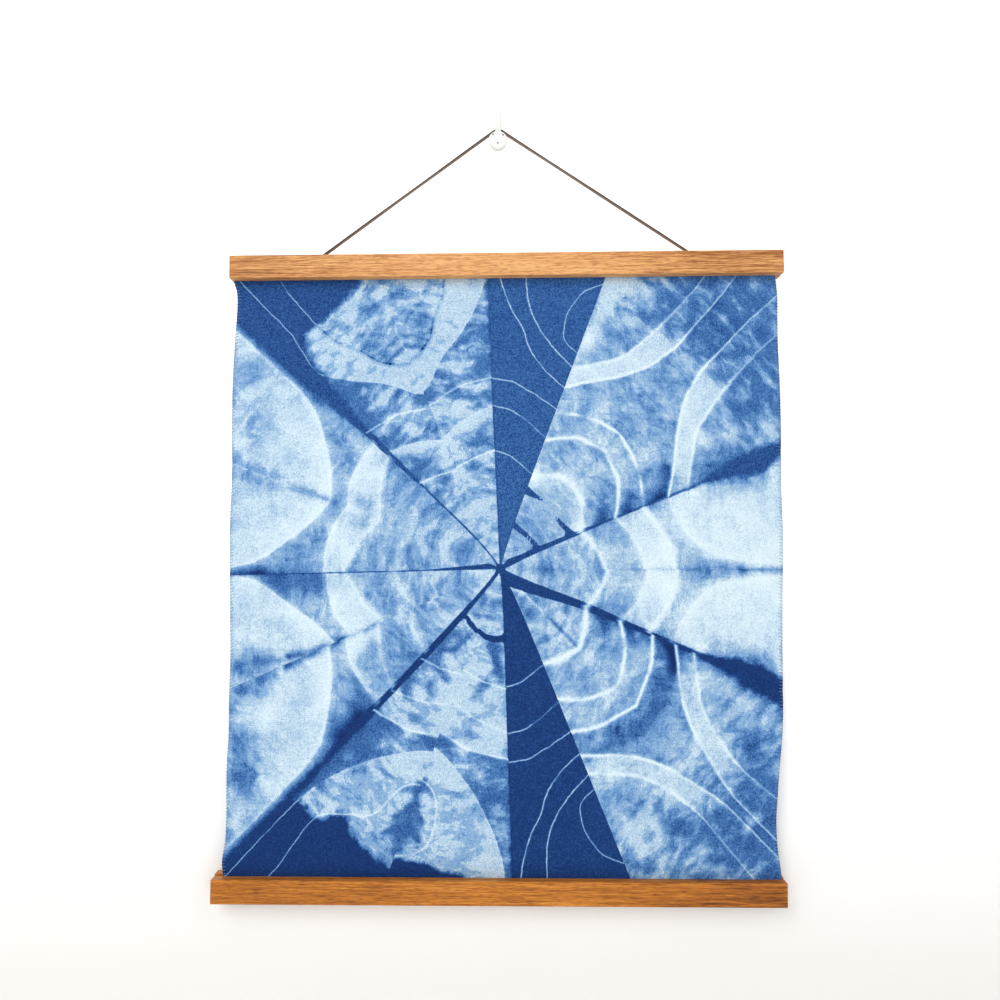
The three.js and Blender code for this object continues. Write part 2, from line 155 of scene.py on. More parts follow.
RIGHT, UPPER_RIGHT, LOWER_RIGHT = (0, 15), (1, 2), (13, 14)
UPPER_LEFT, LOWER_LEFT = (6, 7), (8, 9)
TOP, BOTTOM, SOLID = (4, 5), (10, 11), (3, 12)
LEFT_STRINGS = (
    String(((92, 0), (88, 0.5), (80, 1)), (0.35, 2.6)),
    String(((133, 0), (121, 0.5), (109, 1)), (0.35, 3)),
    String(((151, 0), (150, 0.3), (146, 0.7), (140, 1)), (0.30, 3.5), (0.06, 8)),
    String(((340, 0.10), (280, 0.10), (250, 0.11), (222, 0.13), (200, 0.22), (183, 0.38), (170, 0.55),
        (159, 0.8), (154, 1)), (0.3, 3), (-0.12, 9), (0.17, 17)))
TOP_DYE = (0.9, 0.95, 0.95), (0.46, 0.54, 0.58, 0.58, 0.27, 0.45), (
    String(((100, 0), (96, 0.5), (93, 1)), (0.5, 0.8), (0.2, 9), (0.1, 6)),
    String(((138, 0), (130, 0.5), (121, 1)), (0.1, 1), (0.42, 12), (0.1, 6)),
    String(((162, 0), (158, 0.5), (150, 1)), (0.5, 0.8), (0.1, 6), (0.22, 6)),
    String(((340, -0.1), (262, -0.02), (247, 0.02), (228, 0.11), (207, 0.28), (185, 0.62), (167, 0.88),
        (163, 1)), (0, 1), (0, 8), (0.05, 10)),
    String(((340, 0.385), (300, 0.37), (260, 0.39), (240, 0.43), (222, 0.57), (205, 0.68), (195, 0.85),
        (192, 1)), (-0.6, 1.8), (0, 1), (0, 8)))
BOTTOM_DYE = (0.9, 0.95, 0.95), (0.36, 0.30, 0.37, 0.62, 0.33, 0.42), (
    String(((100, 0), (96, 0.5), (92, 1)), (0.5, 0.8), (0.1, 9), (0.1, 6)),
    String(((136, 0), (128, 0.5), (119, 1)), (0.4, 1), (0.12, 12), (0.1, 6)),
    String(((158, 0), (154, 0.5), (147, 1)), (0.6, 1), (0.2, 6), (-0.1, 6)),
    String(((340, 0.04), (285, 0.045), (254, 0.06), (245, 0.07), (226, 0.13), (205, 0.25), (188, 0.4),
        (177, 0.56), (165, 0.8), (160, 1)), (0.1, 1), (-0.12, 6), (0.05, 10)),
    String(((256, 1.05), (248, 0.86), (238, 0.77), (222, 0.74), (205, 0.77), (193, 0.88), (188, 1.05)),
        (0.5, 0.9)))
PAIRS = (
    Layers(RIGHT, (0.6, 0, 0), (0.40, 0.34, 0.17, 0.34, 0.23), (
        String(((88, 0), (84, 0.4), (75, 1)), (0.65, 2.4)),
        String(((121, 0), (117, 0.4), (106, 1)), (0.45, 2.6)),
        String(((147, 0), (143, 0.4), (131, 1)), (0.65, 2.6)),
        String(((320, 0.03), (237, 0.05), (200, 0.09), (179, 0.17), (164, 0.36), (155, 0.62), (152, 1)),
            (0.2, 5), (0.1, 8), (0.13, 22)))),
    Layers(UPPER_RIGHT, (0.6, 0.2, 0.85), (0.36, 0.46, 0.42, 0.45, 0.30, 0.52), (
        String(((93, 0), (91, 0.4), (85, 0.75), (80, 1)), (0.85, 3.2), (0.12, 8)),
        String(((133, 0), (126, 0.5), (112, 1)), (0.85, 1.8)),
        String(((152, 0), (148, 0.4), (138, 1)), (0.85, 1.5)),
        String(((340, 0.14), (290, 0.13), (258, 0.145), (249, 0.14), (222, 0.2), (209, 0.27), (190, 0.45),
            (172, 0.75), (160, 1)), (0.8, 1.4), (0, 1), (0.14, 12)),
        String(((340, 0.32), (296, 0.315), (270, 0.34), (253, 0.365), (230, 0.43), (208, 0.52), (190, 0.75),
            (178, 1)), (0.6, 1.5), (0.12, 7), (0.1, 8)))),
    Layers(SOLID, (0, 0, 0), (0.825,) * 7, (
        String(((99, 0), (96, 0.3), (90, 0.6), (84, 1)), (0.6, 0.5)),
        String(((138, 0), (134, 0.3), (126, 0.6), (117, 1)), (0.6, 0.5)),
        String(((161, 0), (158, 0.3), (151, 0.6), (143, 1)), (0.6, 0.5)),
        String(((340, 0.06), (250, 0.11), (224, 0.21), (207, 0.34), (184, 0.5), (168, 0.8), (163, 1)),
            (0.65, 0.55)),
        String(((340, 0.3), (258, 0.33), (228, 0.39), (206, 0.54), (190, 0.78), (182, 1)), (0.65, 0.55)),
        String(((262, 1.05), (247, 0.87), (230, 0.79), (217, 0.77), (202, 0.82), (193, 1.05)),
            (0.55, 0.5)))),
    Layers(TOP, *TOP_DYE),
    Layers(UPPER_LEFT, (0.75, 0.15, 0.3), (0.42, 0.42, 0.18, 0.44, 0.28), LEFT_STRINGS),
    Layers(LOWER_LEFT, (0.75, 0.15, 0.3), (0.42, 0.42, 0.19, 0.42, 0.28), LEFT_STRINGS),
    Layers(BOTTOM, *BOTTOM_DYE),
    Layers(LOWER_RIGHT, (0.7, 0.25, 0.85), (0.44, 0.48, 0.42, 0.54, 0.40, 0.53), (
        String(((93, 0), (91, 0.2), (87, 0.6), (82, 1)), (0.85, 2.9), (0.12, 8)),
        String(((137, 0), (134, 0.2), (125, 0.6), (113, 1)), (0.85, 1.9)),
        String(((160, 0), (158, 0.1), (151, 0.6), (143, 1)), (0.85, 1.7)),
        String(((340, 0.035), (273, 0.045), (262, 0.06), (238, 0.12), (217, 0.2), (188, 0.43), (170, 0.8),
            (164, 1)), (0.8, 1.6), (0, 1), (0.12, 12)),
        String(((340, 0.245), (300, 0.25), (262, 0.26), (242, 0.3), (226, 0.36), (202, 0.53), (188, 0.8),
            (180, 1)), (0.6, 1.6), (0.12, 7), (0.1, 8)))))

# Strings that lay elsewhere in one layer: the layer's sector, then the string's number and its path
STRAYS = {
    5: (3, ((340, 0.165), (300, 0.165), (269, 0.175), (250, 0.14), (228, 0.11), (207, 0.28), (185, 0.62),
         (167, 0.88), (163, 1))),
    10: (4, ((340, 0.25), (300, 0.26), (255, 0.27), (240, 0.45), (228, 0.68), (205, 0.77), (193, 0.88),
         (188, 1.05))),
}

# How far each layer slipped in the packet: outwards at its even and its odd fold, and round at the outside
SLIPS = {
    0: (0, 0, 0), 15: (2, 4, 0), 1: (0, -6, 0), 2: (0, 3, 0), 3: (0, 0, 0), 12: (-1, 4, -0.02),
    4: (0, 0, 0), 5: (-1, -2, 0), 6: (0, 0, 0), 7: (-2, 0, -0.05), 8: (-4, -2, -0.12), 9: (0, 3, -0.03),
    10: (0, 2, 0), 11: (0, -2, 0), 13: (0, 5, 0), 14: (0, -4, 0),
}

# Soft strokes of more or less dye, where the packet bled or was gripped
STROKES = {
    # sectors, then rows of: from radius, share, to radius, share, half width, change of tone
    (14,): ((35, 0.1, 39, 0.1, 4, 0.3), (96, 1, 104, 0.72, 5, 0.28), (120, 1, 128, 0.76, 6, 0.28),
        (158, 1, 172, 0.72, 8, 0.3), (204, 0.8, 232, 0.78, 9, -0.28)),
    (13,): ((40, 0.6, 44, 0.6, 4.5, 0.3), (226, 0.85, 250, 0.83, 7, -0.3), (236, 0.66, 256, 0.6, 5, -0.22)),
    RIGHT: ((8, 0, 40, 0, 6, 0.2), (168, 0, 200, 0, 6, 0.3), (200, 0, 236, 0, 2.2, 0.35),
        (100, 0, 165, 0, 1.6, 0.16), (128, 0.05, 140, 0.3, 9, -0.1)),
    (1,): ((240, 0.66, 262, 0.6, 12, 0.3), (98, 1, 104, 0.78, 5, 0.28), (122, 1, 128, 0.8, 5, 0.28),
        (150, 1, 165, 0.76, 8, 0.3), (205, 0.62, 240, 0.72, 8, -0.22), (250, 0.5, 262, 0.46, 6, -0.2)),
    (4,): ((136, 0.5, 140, 0.95, 9, -0.25), (176, 0.08, 205, 0.02, 9, 0.12)),
    BOTTOM: ((33, 0.7, 41, 0.5, 5, 0.3), (188, 1, 212, 1, 4.5, 0.5), (222, 1, 250, 1, 6, 0.55),
        (209, 1, 222, 0.86, 2.6, 0.45), (226, 1, 236, 0.85, 2.6, 0.45), (150, 0.85, 155, 1, 5, 0.42)),
    (10,): ((84, 0.25, 76, 0.55, 2.2, 0.42), (76, 0.55, 62, 0.74, 2.4, 0.42),
        (95, 0.21, 101, 0.76, 2.6, 0.42), (70, 0.05, 82, 0.2, 4.5, 0.4), (110, 0.5, 122, 0.6, 4, 0.4),
        (122, 0.1, 132, 0.25, 5, 0.4), (160, 0.2, 176, 0.1, 8, 0.3), (212, 0.05, 240, 0.03, 8, 0.3),
        (236, 0.1, 244, 0.3, 7, 0.26), (236, 0.09, 250, 0.1, 2.2, -0.45),
        (238, 0.33, 250, 0.3, 2.5, -0.45)),
    (11,): ((65, 0.45, 92, 0.1, 2.6, 0.42), (70, 0.3, 84, 0.2, 3.5, 0.4), (98, 0.45, 110, 0.6, 4, 0.42),
        (120, 0.3, 126, 0.55, 4, 0.36)),
    UPPER_RIGHT: ((78, 0.9, 84, 0.95, 3.5, -0.4), (274, 0.23, 360, 0.23, 28, 0.5),
        (262, 0.05, 320, 0.02, 9, 0.18), (158, 0.1, 200, 0.05, 10, 0.1)),
    LOWER_RIGHT: ((290, 0.15, 370, 0.15, 28, 0.46), (67, 0.7, 86, 1, 5, 0.12), (8, 0, 60, 0, 0.9, -0.16),
        (52, 0, 92, 0, 1.6, 0.4), (177, 0, 168, 0.9, 7, 0.2), (268, 0.12, 330, 0.1, 7, 0.12),
        (160, 0.05, 175, 0.15, 9, 0.1)),
    (12,): ((0, 0.5, 330, 0.5, 900, 0.095),),
    (2,): ((206, 0.9, 252, 0.94, 9, -0.3), (196, 0.97, 205, 0.99, 7, -0.2), (262, 0.62, 290, 0.6, 6, -0.16),
        (262, 0.8, 290, 0.76, 7, -0.16)),
    TOP: ((40, 0.3, 76, 0.8, 10, -0.14), (84, 0.2, 90, 0.6, 5, 0.2), (112, 0.3, 118, 0.9, 6, 0.16),
        (128, 0.3, 118, 0.9, 7, -0.16)),
    (5,): ((152, 0.5, 160, 0.7, 6, -0.3), (186, 0.2, 200, 0.1, 9, 0.2)),
    UPPER_LEFT: ((150, 1, 192, 1, 2.6, 0.3), (203, 1, 250, 0.98, 7, 0.3), (118, 0.9, 140, 0.85, 6, 0.22),
        (104, 0.3, 118, 0.7, 8, 0.1)),
    (6,): ((240, 0.66, 268, 0.5, 12, 0.12), (270, 0.26, 300, 0.3, 12, 0.16)),
    (7,): ((150, 0.15, 205, 0.03, 9, 0.2), (205, 0.04, 250, 0.03, 7, 0.25)),
    LOWER_LEFT: ((108, 1, 140, 1, 2.2, 0.25), (146, 1, 194, 1, 3.2, 0.42), (192, 1, 215, 1, 6, 0.2),
        (218, 1, 260, 0.95, 13, 0.34)),
    (9,): ((120, 0.62, 150, 0.45, 8, 0.3), (132, 0.3, 165, 0.2, 10, 0.2), (258, 0.64, 274, 0.36, 12, 0.36),
        (296, 0.25, 330, 0.2, 34, 0.16), (172, 0.05, 192, 0.1, 9, 0.3), (226, 0.72, 236, 0.62, 9, -0.12)),
    (8,): ((158, 0.12, 190, 0.14, 13, 0.32),),
}

# Ink that ran along a fold: its number, the sector beside it, half widths at radii, and how far and how
# deep it bled between the strings
FOLD_INK = (
    (1, 1, ((0, 3), (9, 4.2), (18, 2.8), (60, 2.2), (95, 1.2), (183, 1.2), (192, 3), (212, 8), (250, 11),
     (268, 9)), 9, 0.3),
    (1, 0, ((0, 1), (8, 2.2), (60, 1.8), (95, 0.8), (190, 1), (204, 5), (235, 12), (252, 4), (268, 2)), 7,
     0.25),
    (15, 15, ((0, 0.4), (28, 0.6), (48, 1.6), (80, 3), (120, 2.2), (179, 2.2), (200, 6), (232, 14),
     (250, 9), (268, 10)), 8, 0.3),
    (15, 14, ((0, 3), (18, 11), (40, 8), (58, 5.2), (80, 3.4), (120, 2.2), (179, 2.2), (200, 4), (230, 10),
     (268, 13)), 9, 0.3),
    (15, 13, ((0, 3), (18, 11), (40, 6), (50, 0), (300, 0)), 1, 0),
    (10, 10, ((0, 1), (10, 1.6), (60, 3.2), (100, 3.8), (150, 3), (172, 4), (200, 2.8), (252, 4), (330, 4)),
     12, 0.3),
    (10, 9, ((0, 1), (10, 1.4), (60, 1.8), (140, 2), (170, 4), (195, 3), (240, 3), (330, 7)), 10, 0.3),
    (6, 6, ((0, 0.6), (90, 0.9), (110, 1.6), (160, 2), (200, 4), (245, 10), (266, 9), (330, 10)), 8, 0.25),
    (6, 5, ((0, 0.6), (90, 0.9), (110, 1.8), (160, 4), (200, 8), (227, 12), (330, 20)), 10, 0.3),
    (8, 7, ((0, 1), (9, 4.5), (62, 0.6), (300, 0.4)), 4, 0.15),
    (8, 8, ((0, 0.4), (300, 0.4)), 5, 0.15),
    (4, 3, ((0, 0.6), (300, 0.6)), 1, 0),
    (4, 4, ((0, 0.6), (300, 0.6)), 4, 0.15),
    (12, 11, ((0, 0.6), (300, 0.6)), 4, 0.1),
    (12, 12, ((0, 0.6), (300, 0.6)), 1, 0),
)
CENTRE_INK_RADIUS, NO_INK = 4.2, -40.0

# Short tapered marks of full ink near the centre, where the packet was nicked or smeared
INK_MARKS = (
    # sectors, then radius, share and half width at the mark's start and at its end
    (UPPER_RIGHT, (38, 1.1, 2.4), (35.5, 0, 1.9)),
    ((2,), (67, 1.15, 4.2), (66, 0.4, 1)),
    ((1,), (71, 1.1, 6.5), (69.5, 0.74, 1.8)),
    ((1,), (69.5, 0.8, 2.4), (65, 0.35, 1.8)),
    ((10,), (48, 0.12, 1.4), (51, 0.5, 2.2)),
    ((10,), (51, 0.5, 2.2), (54.5, 1, 1.9)),
    ((11,), (56.5, 1, 1.9), (59.5, 0.66, 2.4)),
    ((11,), (59.5, 0.66, 2.4), (60, 0.33, 2.9)),
    ((11,), (60, 0.33, 2.9), (58, 0, 3)),
)

# Corners that stood out of the packet and took the full dye, each past a line across its sector
DARK_CORNERS = {
    5: ((190, -0.05), (205, 0.04), (228, 0.1), (250, 0.17), (259, 0.25), (261, 0.45), (266, 0.72),
         (277, 0.93), (310, 1.05)),
    10: ((256, -0.05), (254, 0.07), (255, 0.3), (243, 0.4), (240, 0.48), (249, 0.58), (254, 0.75),
         (262, 1.05)),
    11: ((300, -0.05), (272, 0.15), (258, 0.35), (254, 0.6), (252, 0.8), (258, 1.05)),
}

# Radii between which each change comes in: slips, crispness, the ink's bleeding and its feathered edge, and
# the strings of the right-hand sectors getting fainter and thinner by the given shares
SLIP_FROM, ROUND_SLIP_FROM = (20, 70), (165, 215)
CRISP_INNER, CRISP_OUTER = (70, 125), (200, 255)
BLEED_FROM, FEATHER_FROM = (60, 100), (150, 215)
FAINTER_FROM, FAINTER, THINNER = (235, 275), 0.35, 0.5

# An inked edge's softness and raggedness, near the centre and further out
INK_SOFTNESS, INK_FEATHER = (0.55, 2.75), (1.0, 10.0)

# Strings in the dark corners: from which radius, and how much paler and how wide their lines are
CORNER_RADIUS, CORNER_LINE = 190, (0.55, 0.4)

# How far apart the pairs of sectors stand in the clouds of dye, so that no two look alike
PAIR_SPACING = 300.0

# The flat depths of torn patches, as steps
FLAT_DEPTHS = (
    (0, 0.25), (0.38, 0.31), (0.385, 0.44), (0.56, 0.49),
    (0.565, 0.61), (0.7, 0.64), (0.705, 0.72), (1, 0.78),
)

# The blue at each depth of dye
DYE_BLUES = (
    (0.0, (222, 238, 244)), (0.18, (201, 222, 236)), (0.36, (152, 184, 213)), (0.52, (112, 155, 203)),
    (0.68, (76, 123, 179)), (0.80, (47, 93, 156)), (0.92, (12, 52, 112)), (1.0, (6, 38, 92)),
)


def smooth_line(points, per_span):
    """Points along the centripetal Catmull-Rom curve through the given ones.

    Between b and c, with neighbours a and d, the lines ab, bc and cd are blended three times over, with
    knots spaced by the square roots of the distances. Both ends are carried on by reflection.
    """
    p = np.asarray(points, float)
    p = np.vstack([2 * p[0] - p[1], p, 2 * p[-1] - p[-2]])
    knot = np.concatenate([[0.0], np.cumsum(np.sqrt(np.linalg.norm(np.diff(p, axis=0), axis=1)))])
    share = np.linspace(0, 1, per_span, endpoint=False)
    spans = []
    for i in range(1, len(p) - 2):
        a, b, c, d = p[i - 1 : i + 3]
        ta, tb, tc, td = knot[i - 1 : i + 3]
        t = (tb + (tc - tb) * share)[:, None]
        ab = a + (b - a) * (t - ta) / (tb - ta)
        bc = b + (c - b) * (t - tb) / (tc - tb)
        cd = c + (d - c) * (t - tc) / (td - tc)
        abc = ab + (bc - ab) * (t - ta) / (tc - ta)
        bcd = bc + (cd - bc) * (t - tb) / (td - tb)
        spans.append(abc + (bcd - abc) * (t - tb) / (tc - tb))
    return np.vstack([*spans, p[-2:-1]])


def smooth_step(value, low, high):
    t = np.clip((value - low) / (high - low), 0, 1)
    return t * t * (3 - 2 * t)


def unit(vectors):
    return vectors / np.linalg.norm(vectors, axis=-1, keepdims=True)


def mesh_object(name, points, *face_arrays, smooth=True):
    """A mesh object in millimetre points and arrays of three- or four-cornered faces."""
    sizes = np.concatenate([np.full(len(faces), faces.shape[1]) for faces in face_arrays])
    corners = np.concatenate([faces.ravel() for faces in face_arrays]).astype(np.int32)
    starts = np.concatenate([[0], np.cumsum(sizes)[:-1]]).astype(np.int32)
    mesh = bpy.data.meshes.new(name)
    mesh.vertices.add(len(points))
    mesh.vertices.foreach_set("co", (np.asarray(points) * MM).astype(np.float32).ravel())
    mesh.loops.add(len(corners))
    mesh.loops.foreach_set("vertex_index", corners)
    mesh.polygons.add(len(sizes))
    mesh.polygons.foreach_set("loop_start", starts)
    mesh.polygons.foreach_set("use_smooth", np.full(len(sizes), smooth))
    mesh.update(calc_edges=True)
    mesh.validate()
    made = bpy.data.objects.new(name, mesh)
    bpy.context.scene.collection.objects.link(made)
    return made


def store(piece, name, kind, domain, values):
    """Keeps values on a piece's points or face corners, for its material to read."""
    layer = piece.data.attributes.new(name, kind, domain)
    layer.data.foreach_set("value" if kind == "FLOAT" else "vector", np.asarray(values, np.float32).ravel())


def finish_piece(piece, material, slot, *nodes):
    """Gives a piece its material, lets it ride on the one body, and lets it stand for its nodes."""
    piece.data.materials.clear()
    piece.data.materials.append(material)
    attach(piece, "root")
    if nodes:
        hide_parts(*nodes)
    return piece


def ring_skin(rings):
    """Faces over rings of points: rings is (ring, point, xyz). Quads join neighbouring rings, and a fan round
    an added middle point closes each end."""
    count, around = rings.shape[:2]
    index = np.arange(count * around).reshape(count, around)
    here, there = index[:-1], index[1:]
    quads = np.stack([here, np.roll(here, -1, 1), np.roll(there, -1, 1), there], axis=-1).reshape(-1, 4)
    middles = np.array([rings[0].mean(0), rings[-1].mean(0)])
    first, last = count * around, count * around + 1
    start, end = index[0], index[-1]
    caps = np.vstack([
        np.stack([np.full(around, first), np.roll(start, -1), start], axis=-1),
        np.stack([np.full(around, last), end, np.roll(end, -1)], axis=-1),
    ])
    return np.vstack([rings.reshape(-1, 3), middles]), quads, caps


class Finish:
    """One node material, with short ways to add its nodes. Each gives back the output that others use."""

    def __init__(self, name):
        self.material = bpy.data.materials.new(name)
        self.material.use_nodes = True
        self.tree = self.material.node_tree
        self.tree.nodes.clear()
        self.shader = self.node("BsdfPrincipled")
        self.output = self.node("OutputMaterial", {"Surface": self.shader.outputs["BSDF"]})

    def put(self, socket, value):
        if isinstance(value, bpy.types.NodeSocket):
            self.tree.links.new(value, socket)
        else:
            socket.default_value = value

    def node(self, kind, inputs=(), **settings):
        """A new node. The inputs are given by name or number, each as a value or another node's output."""
        made = self.tree.nodes.new("ShaderNode" + kind)
        for key, value in settings.items():
            setattr(made, key, value)
        for key, value in dict(inputs).items():
            self.put(made.inputs[key], value)
        return made

    def surface(self, **values):
        """Sets or joins the shader's own sockets. A name's underscores stand for spaces."""
        for key, value in values.items():
            self.put(self.shader.inputs[key.replace("_", " ")], value)

    def attribute(self, name, output="Fac"):
        return self.node("Attribute", attribute_name=name).outputs[output]

    def place(self):
        return self.node("TexCoord").outputs["Object"]

    def split(self, vector):
        return self.node("SeparateXYZ", {0: vector}).outputs

    def math(self, operation, *values):
        return self.node("Math", enumerate(values), operation=operation).outputs[0]

    def plus(self, total, *others):
        for value in others:
            total = self.math("ADD", total, value)
        return total

    def times(self, product, *others):
        for value in others:
            product = self.math("MULTIPLY", product, value)
        return product

    def times_plus(self, value, factor, added):
        return self.math("MULTIPLY_ADD", value, factor, added)

    def centred(self, noise, spread):
        """A noise of 0 to 1 as a shift of half the spread to each side of nought."""
        return self.times_plus(noise, spread, -spread / 2)

    def vector(self, operation, *values):
        return self.node("VectorMath", enumerate(values), operation=operation).outputs[0]

    def stretched(self, place, scale, turn=(0, 0, 0), shift=(0, 0, 0)):
        inputs = {"Vector": place, "Scale": scale, "Rotation": turn, "Location": shift}
        return self.node("Mapping", inputs).outputs[0]

    def noise(self, place, scale, detail=2.0, roughness=0.5, distortion=0.0, output="Fac"):
        inputs = {"Vector": place, "Scale": scale, "Detail": detail, "Roughness": roughness}
        return self.node("TexNoise", {**inputs, "Distortion": distortion}).outputs[output]

    def scaled(self, value, low, high, to_low=0.0, to_high=1.0):
        inputs = enumerate((value, low, high, to_low, to_high))
        return self.node("MapRange", inputs, interpolation_type="SMOOTHSTEP").outputs[0]

    def blend(self, share, first, second):
        return self.node("Mix", {0: share, 2: first, 3: second}, data_type="FLOAT").outputs[0]

    def blend_colours(self, share, first, second, kind="MIX"):
        return self.node("Mix", {0: share, 6: first, 7: second}, data_type="RGBA", blend_type=kind).outputs[2]

    def ramp(self, value, *stops):
        made = self.node("ValToRGB", {0: value})
        points = made.color_ramp.elements
        while len(points) < len(stops):
            points.new(0.5)
        for point, (position, colour) in zip(points, stops):
            point.position = position
            point.color = colour
        return made.outputs[0]

    def bump(self, height, distance, strength):
        inputs = {"Height": height, "Distance": distance, "Strength": strength}
        self.surface(Normal=self.node("Bump", inputs).outputs[0])


def tint(red, green, blue):
    """A colour given as 0 to 255 on a screen, as the renderer's linear colour."""
    channels = np.array([red, green, blue]) / 255
    linear = np.where(channels <= 0.04045, channels / 12.92, ((channels + 0.055) / 1.055) ** 2.4)
    return (*linear.tolist(), 1.0)


def place_camera():
    turn = (
        Matrix.Rotation(math.radians(CAMERA_YAW), 3, "Z")
        @ Matrix.Rotation(math.radians(CAMERA_PITCH), 3, "X")
        @ Matrix.Rotation(math.radians(CAMERA_ROLL), 3, "Y")
    )
    right, ahead, up = turn.col
    axes = Matrix((right, up, -ahead)).transposed()
    lens = bpy.data.cameras.new("camera")
    lens.lens = FOCAL_LENGTH
    lens.sensor_width = SENSOR_WIDTH
    lens.clip_start = 0.01
    camera = bpy.data.objects.new("camera", lens)
    camera.matrix_world = Matrix.Translation(CAMERA_PLACE) @ axes.to_4x4()
    bpy.context.scene.collection.objects.link(camera)
    bpy.context.scene.camera = camera


def leather_cord():
    """A flat leather lace with rounded corners, swept along its route, with its raw side below.

    The section is a superellipse of power CORD_POWER. It stands square to the path, turned by CORD_LEAN
    radians, and rocks about that by CORD_ROCK as a sine of the way gone.
    """
    path = smooth_line(CORD_ROUTE, CURVE_STEPS)
    ahead = unit(np.gradient(path, axis=0))
    gone = np.concatenate([[0.0], np.cumsum(np.linalg.norm(np.diff(path, axis=0), axis=1))])
    side = unit(np.cross(ahead, (0.0, 1.0, 0.0)))
    front = np.cross(side, ahead)
    around = np.linspace(0, 2 * np.pi, CORD_SIDES, endpoint=False)
    wide, thick = (
        size / 2 * np.sign(wave) * np.abs(wave) ** (2 / CORD_POWER)
        for size, wave in ((CORD_WIDTH, np.cos(around)), (CORD_THICKNESS, np.sin(around)))
    )
    turn = (CORD_LEAN + CORD_ROCK * np.sin(2 * np.pi * gone / CORD_ROCK_LENGTH))[:, None]
    across = (wide * np.cos(turn) - thick * np.sin(turn))[:, :, None]
    outward = (wide * np.sin(turn) + thick * np.cos(turn))[:, :, None]
    rings = path[:, None, :] + side[:, None, :] * across + front[:, None, :] * outward
    cord = mesh_object("leather_cord", *ring_skin(rings))
    lower = (-across / (CORD_WIDTH / 2)).ravel()
    store(cord, "hide_side", "FLOAT", "POINT", np.concatenate([lower, [0, 0]]))
    depth = np.tile(np.sin(around), len(path)) * CORD_THICKNESS / 2
    spot = np.stack([np.repeat(gone, CORD_SIDES), np.tile(wide, len(path)), depth], axis=-1)
    spot = np.vstack([spot, [[gone[0], 0, 0], [gone[-1], 0, 0]]])
    store(cord, "cord_place", "FLOAT_VECTOR", "POINT", spot * MM)
    finish_piece(cord, waxed_leather(), "leather", "hanging_cord")


def waxed_leather():
    """Dark waxed leather with worn places along it, and a paler raw side with open pores."""
    finish = Finish("waxed_leather")
    spot = finish.attribute("cord_place", "Vector")
    pores = finish.noise(spot, 1800, 3, 0.6)
    wear = finish.noise(finish.stretched(spot, (0.16, 1, 1)), 700, 3, 0.6)
    waxed = finish.ramp(wear, (0.3, tint(44, 34, 28)), (0.55, tint(58, 46, 38)), (0.85, tint(84, 70, 58)))
    raw = finish.ramp(pores, (0.25, tint(98, 85, 74)), (0.8, tint(132, 117, 104)))
    raw_side = finish.scaled(finish.attribute("hide_side"), -0.15, 0.4)
    finish.surface(
        Base_Color=finish.blend_colours(raw_side, waxed, raw),
        Roughness=finish.scaled(wear, 0.2, 0.8, 0.45, 0.75),
    )
    finish.bump(finish.plus(pores, wear), 0.00012, 0.6)
    return finish.material


place_camera()
leather_cord()


# The cloth's shape


def cloth_side_values(height):
    """Left edge, right edge, left curl and right curl at each height, on a smooth line through the rows."""
    rows = smooth_line(CLOTH_SIDES, CURVE_STEPS)[::-1]
    return [np.interp(height, rows[:, 0], rows[:, column]) for column in range(1, 5)]


def along_top(x, offset):
    return TOP_MIDDLE[1] + offset + (x - TOP_MIDDLE[0]) * math.tan(math.radians(TOP_TILT))


def fold_direction(fold, radius):
    """The fold's direction in degrees at each radius: the given one, turned by what makes up for the line
    missing the centre. fold may be an array of numbers, and 16 means the first fold again."""
    angles = np.array([row[0] for row in FOLDS] + [FOLDS[0][0] + 360])
    misses = np.array([row[2] for row in FOLDS] + [FOLDS[0][2]])
    return angles[fold] + np.degrees(np.arcsin(misses[fold] / np.hypot(radius, FOLD_MISS_CALM)))


def rim_reach(degrees):
    """Distance from the fold centre to the cloth's outline in eight directions a degree, found by halving."""
    table = np.linspace(0, 360, 8 * 360 + 1)
    across, up = np.cos(np.radians(table)), np.sin(np.radians(table))
    inner, outer = np.zeros_like(table), np.full_like(table, SLAT_LENGTH)
    for _ in range(40):
        middle = (inner + outer) / 2
        x, z = FOLD_CENTRE[0] + middle * across, FOLD_CENTRE[1] + middle * up
        left, right, _, _ = cloth_side_values(z)
        below_top = z < along_top(x, SLAT_HEIGHT / 2 - HELD_INSET)
        above_bottom = z > BOTTOM_MIDDLE[1] - SLAT_HEIGHT / 2 + HELD_INSET
        inside = below_top & above_bottom & (x > left) & (x < right)
        inner, outer = np.where(inside, middle, inner), np.where(inside, outer, middle)
    return np.interp(degrees % 360, table, inner)


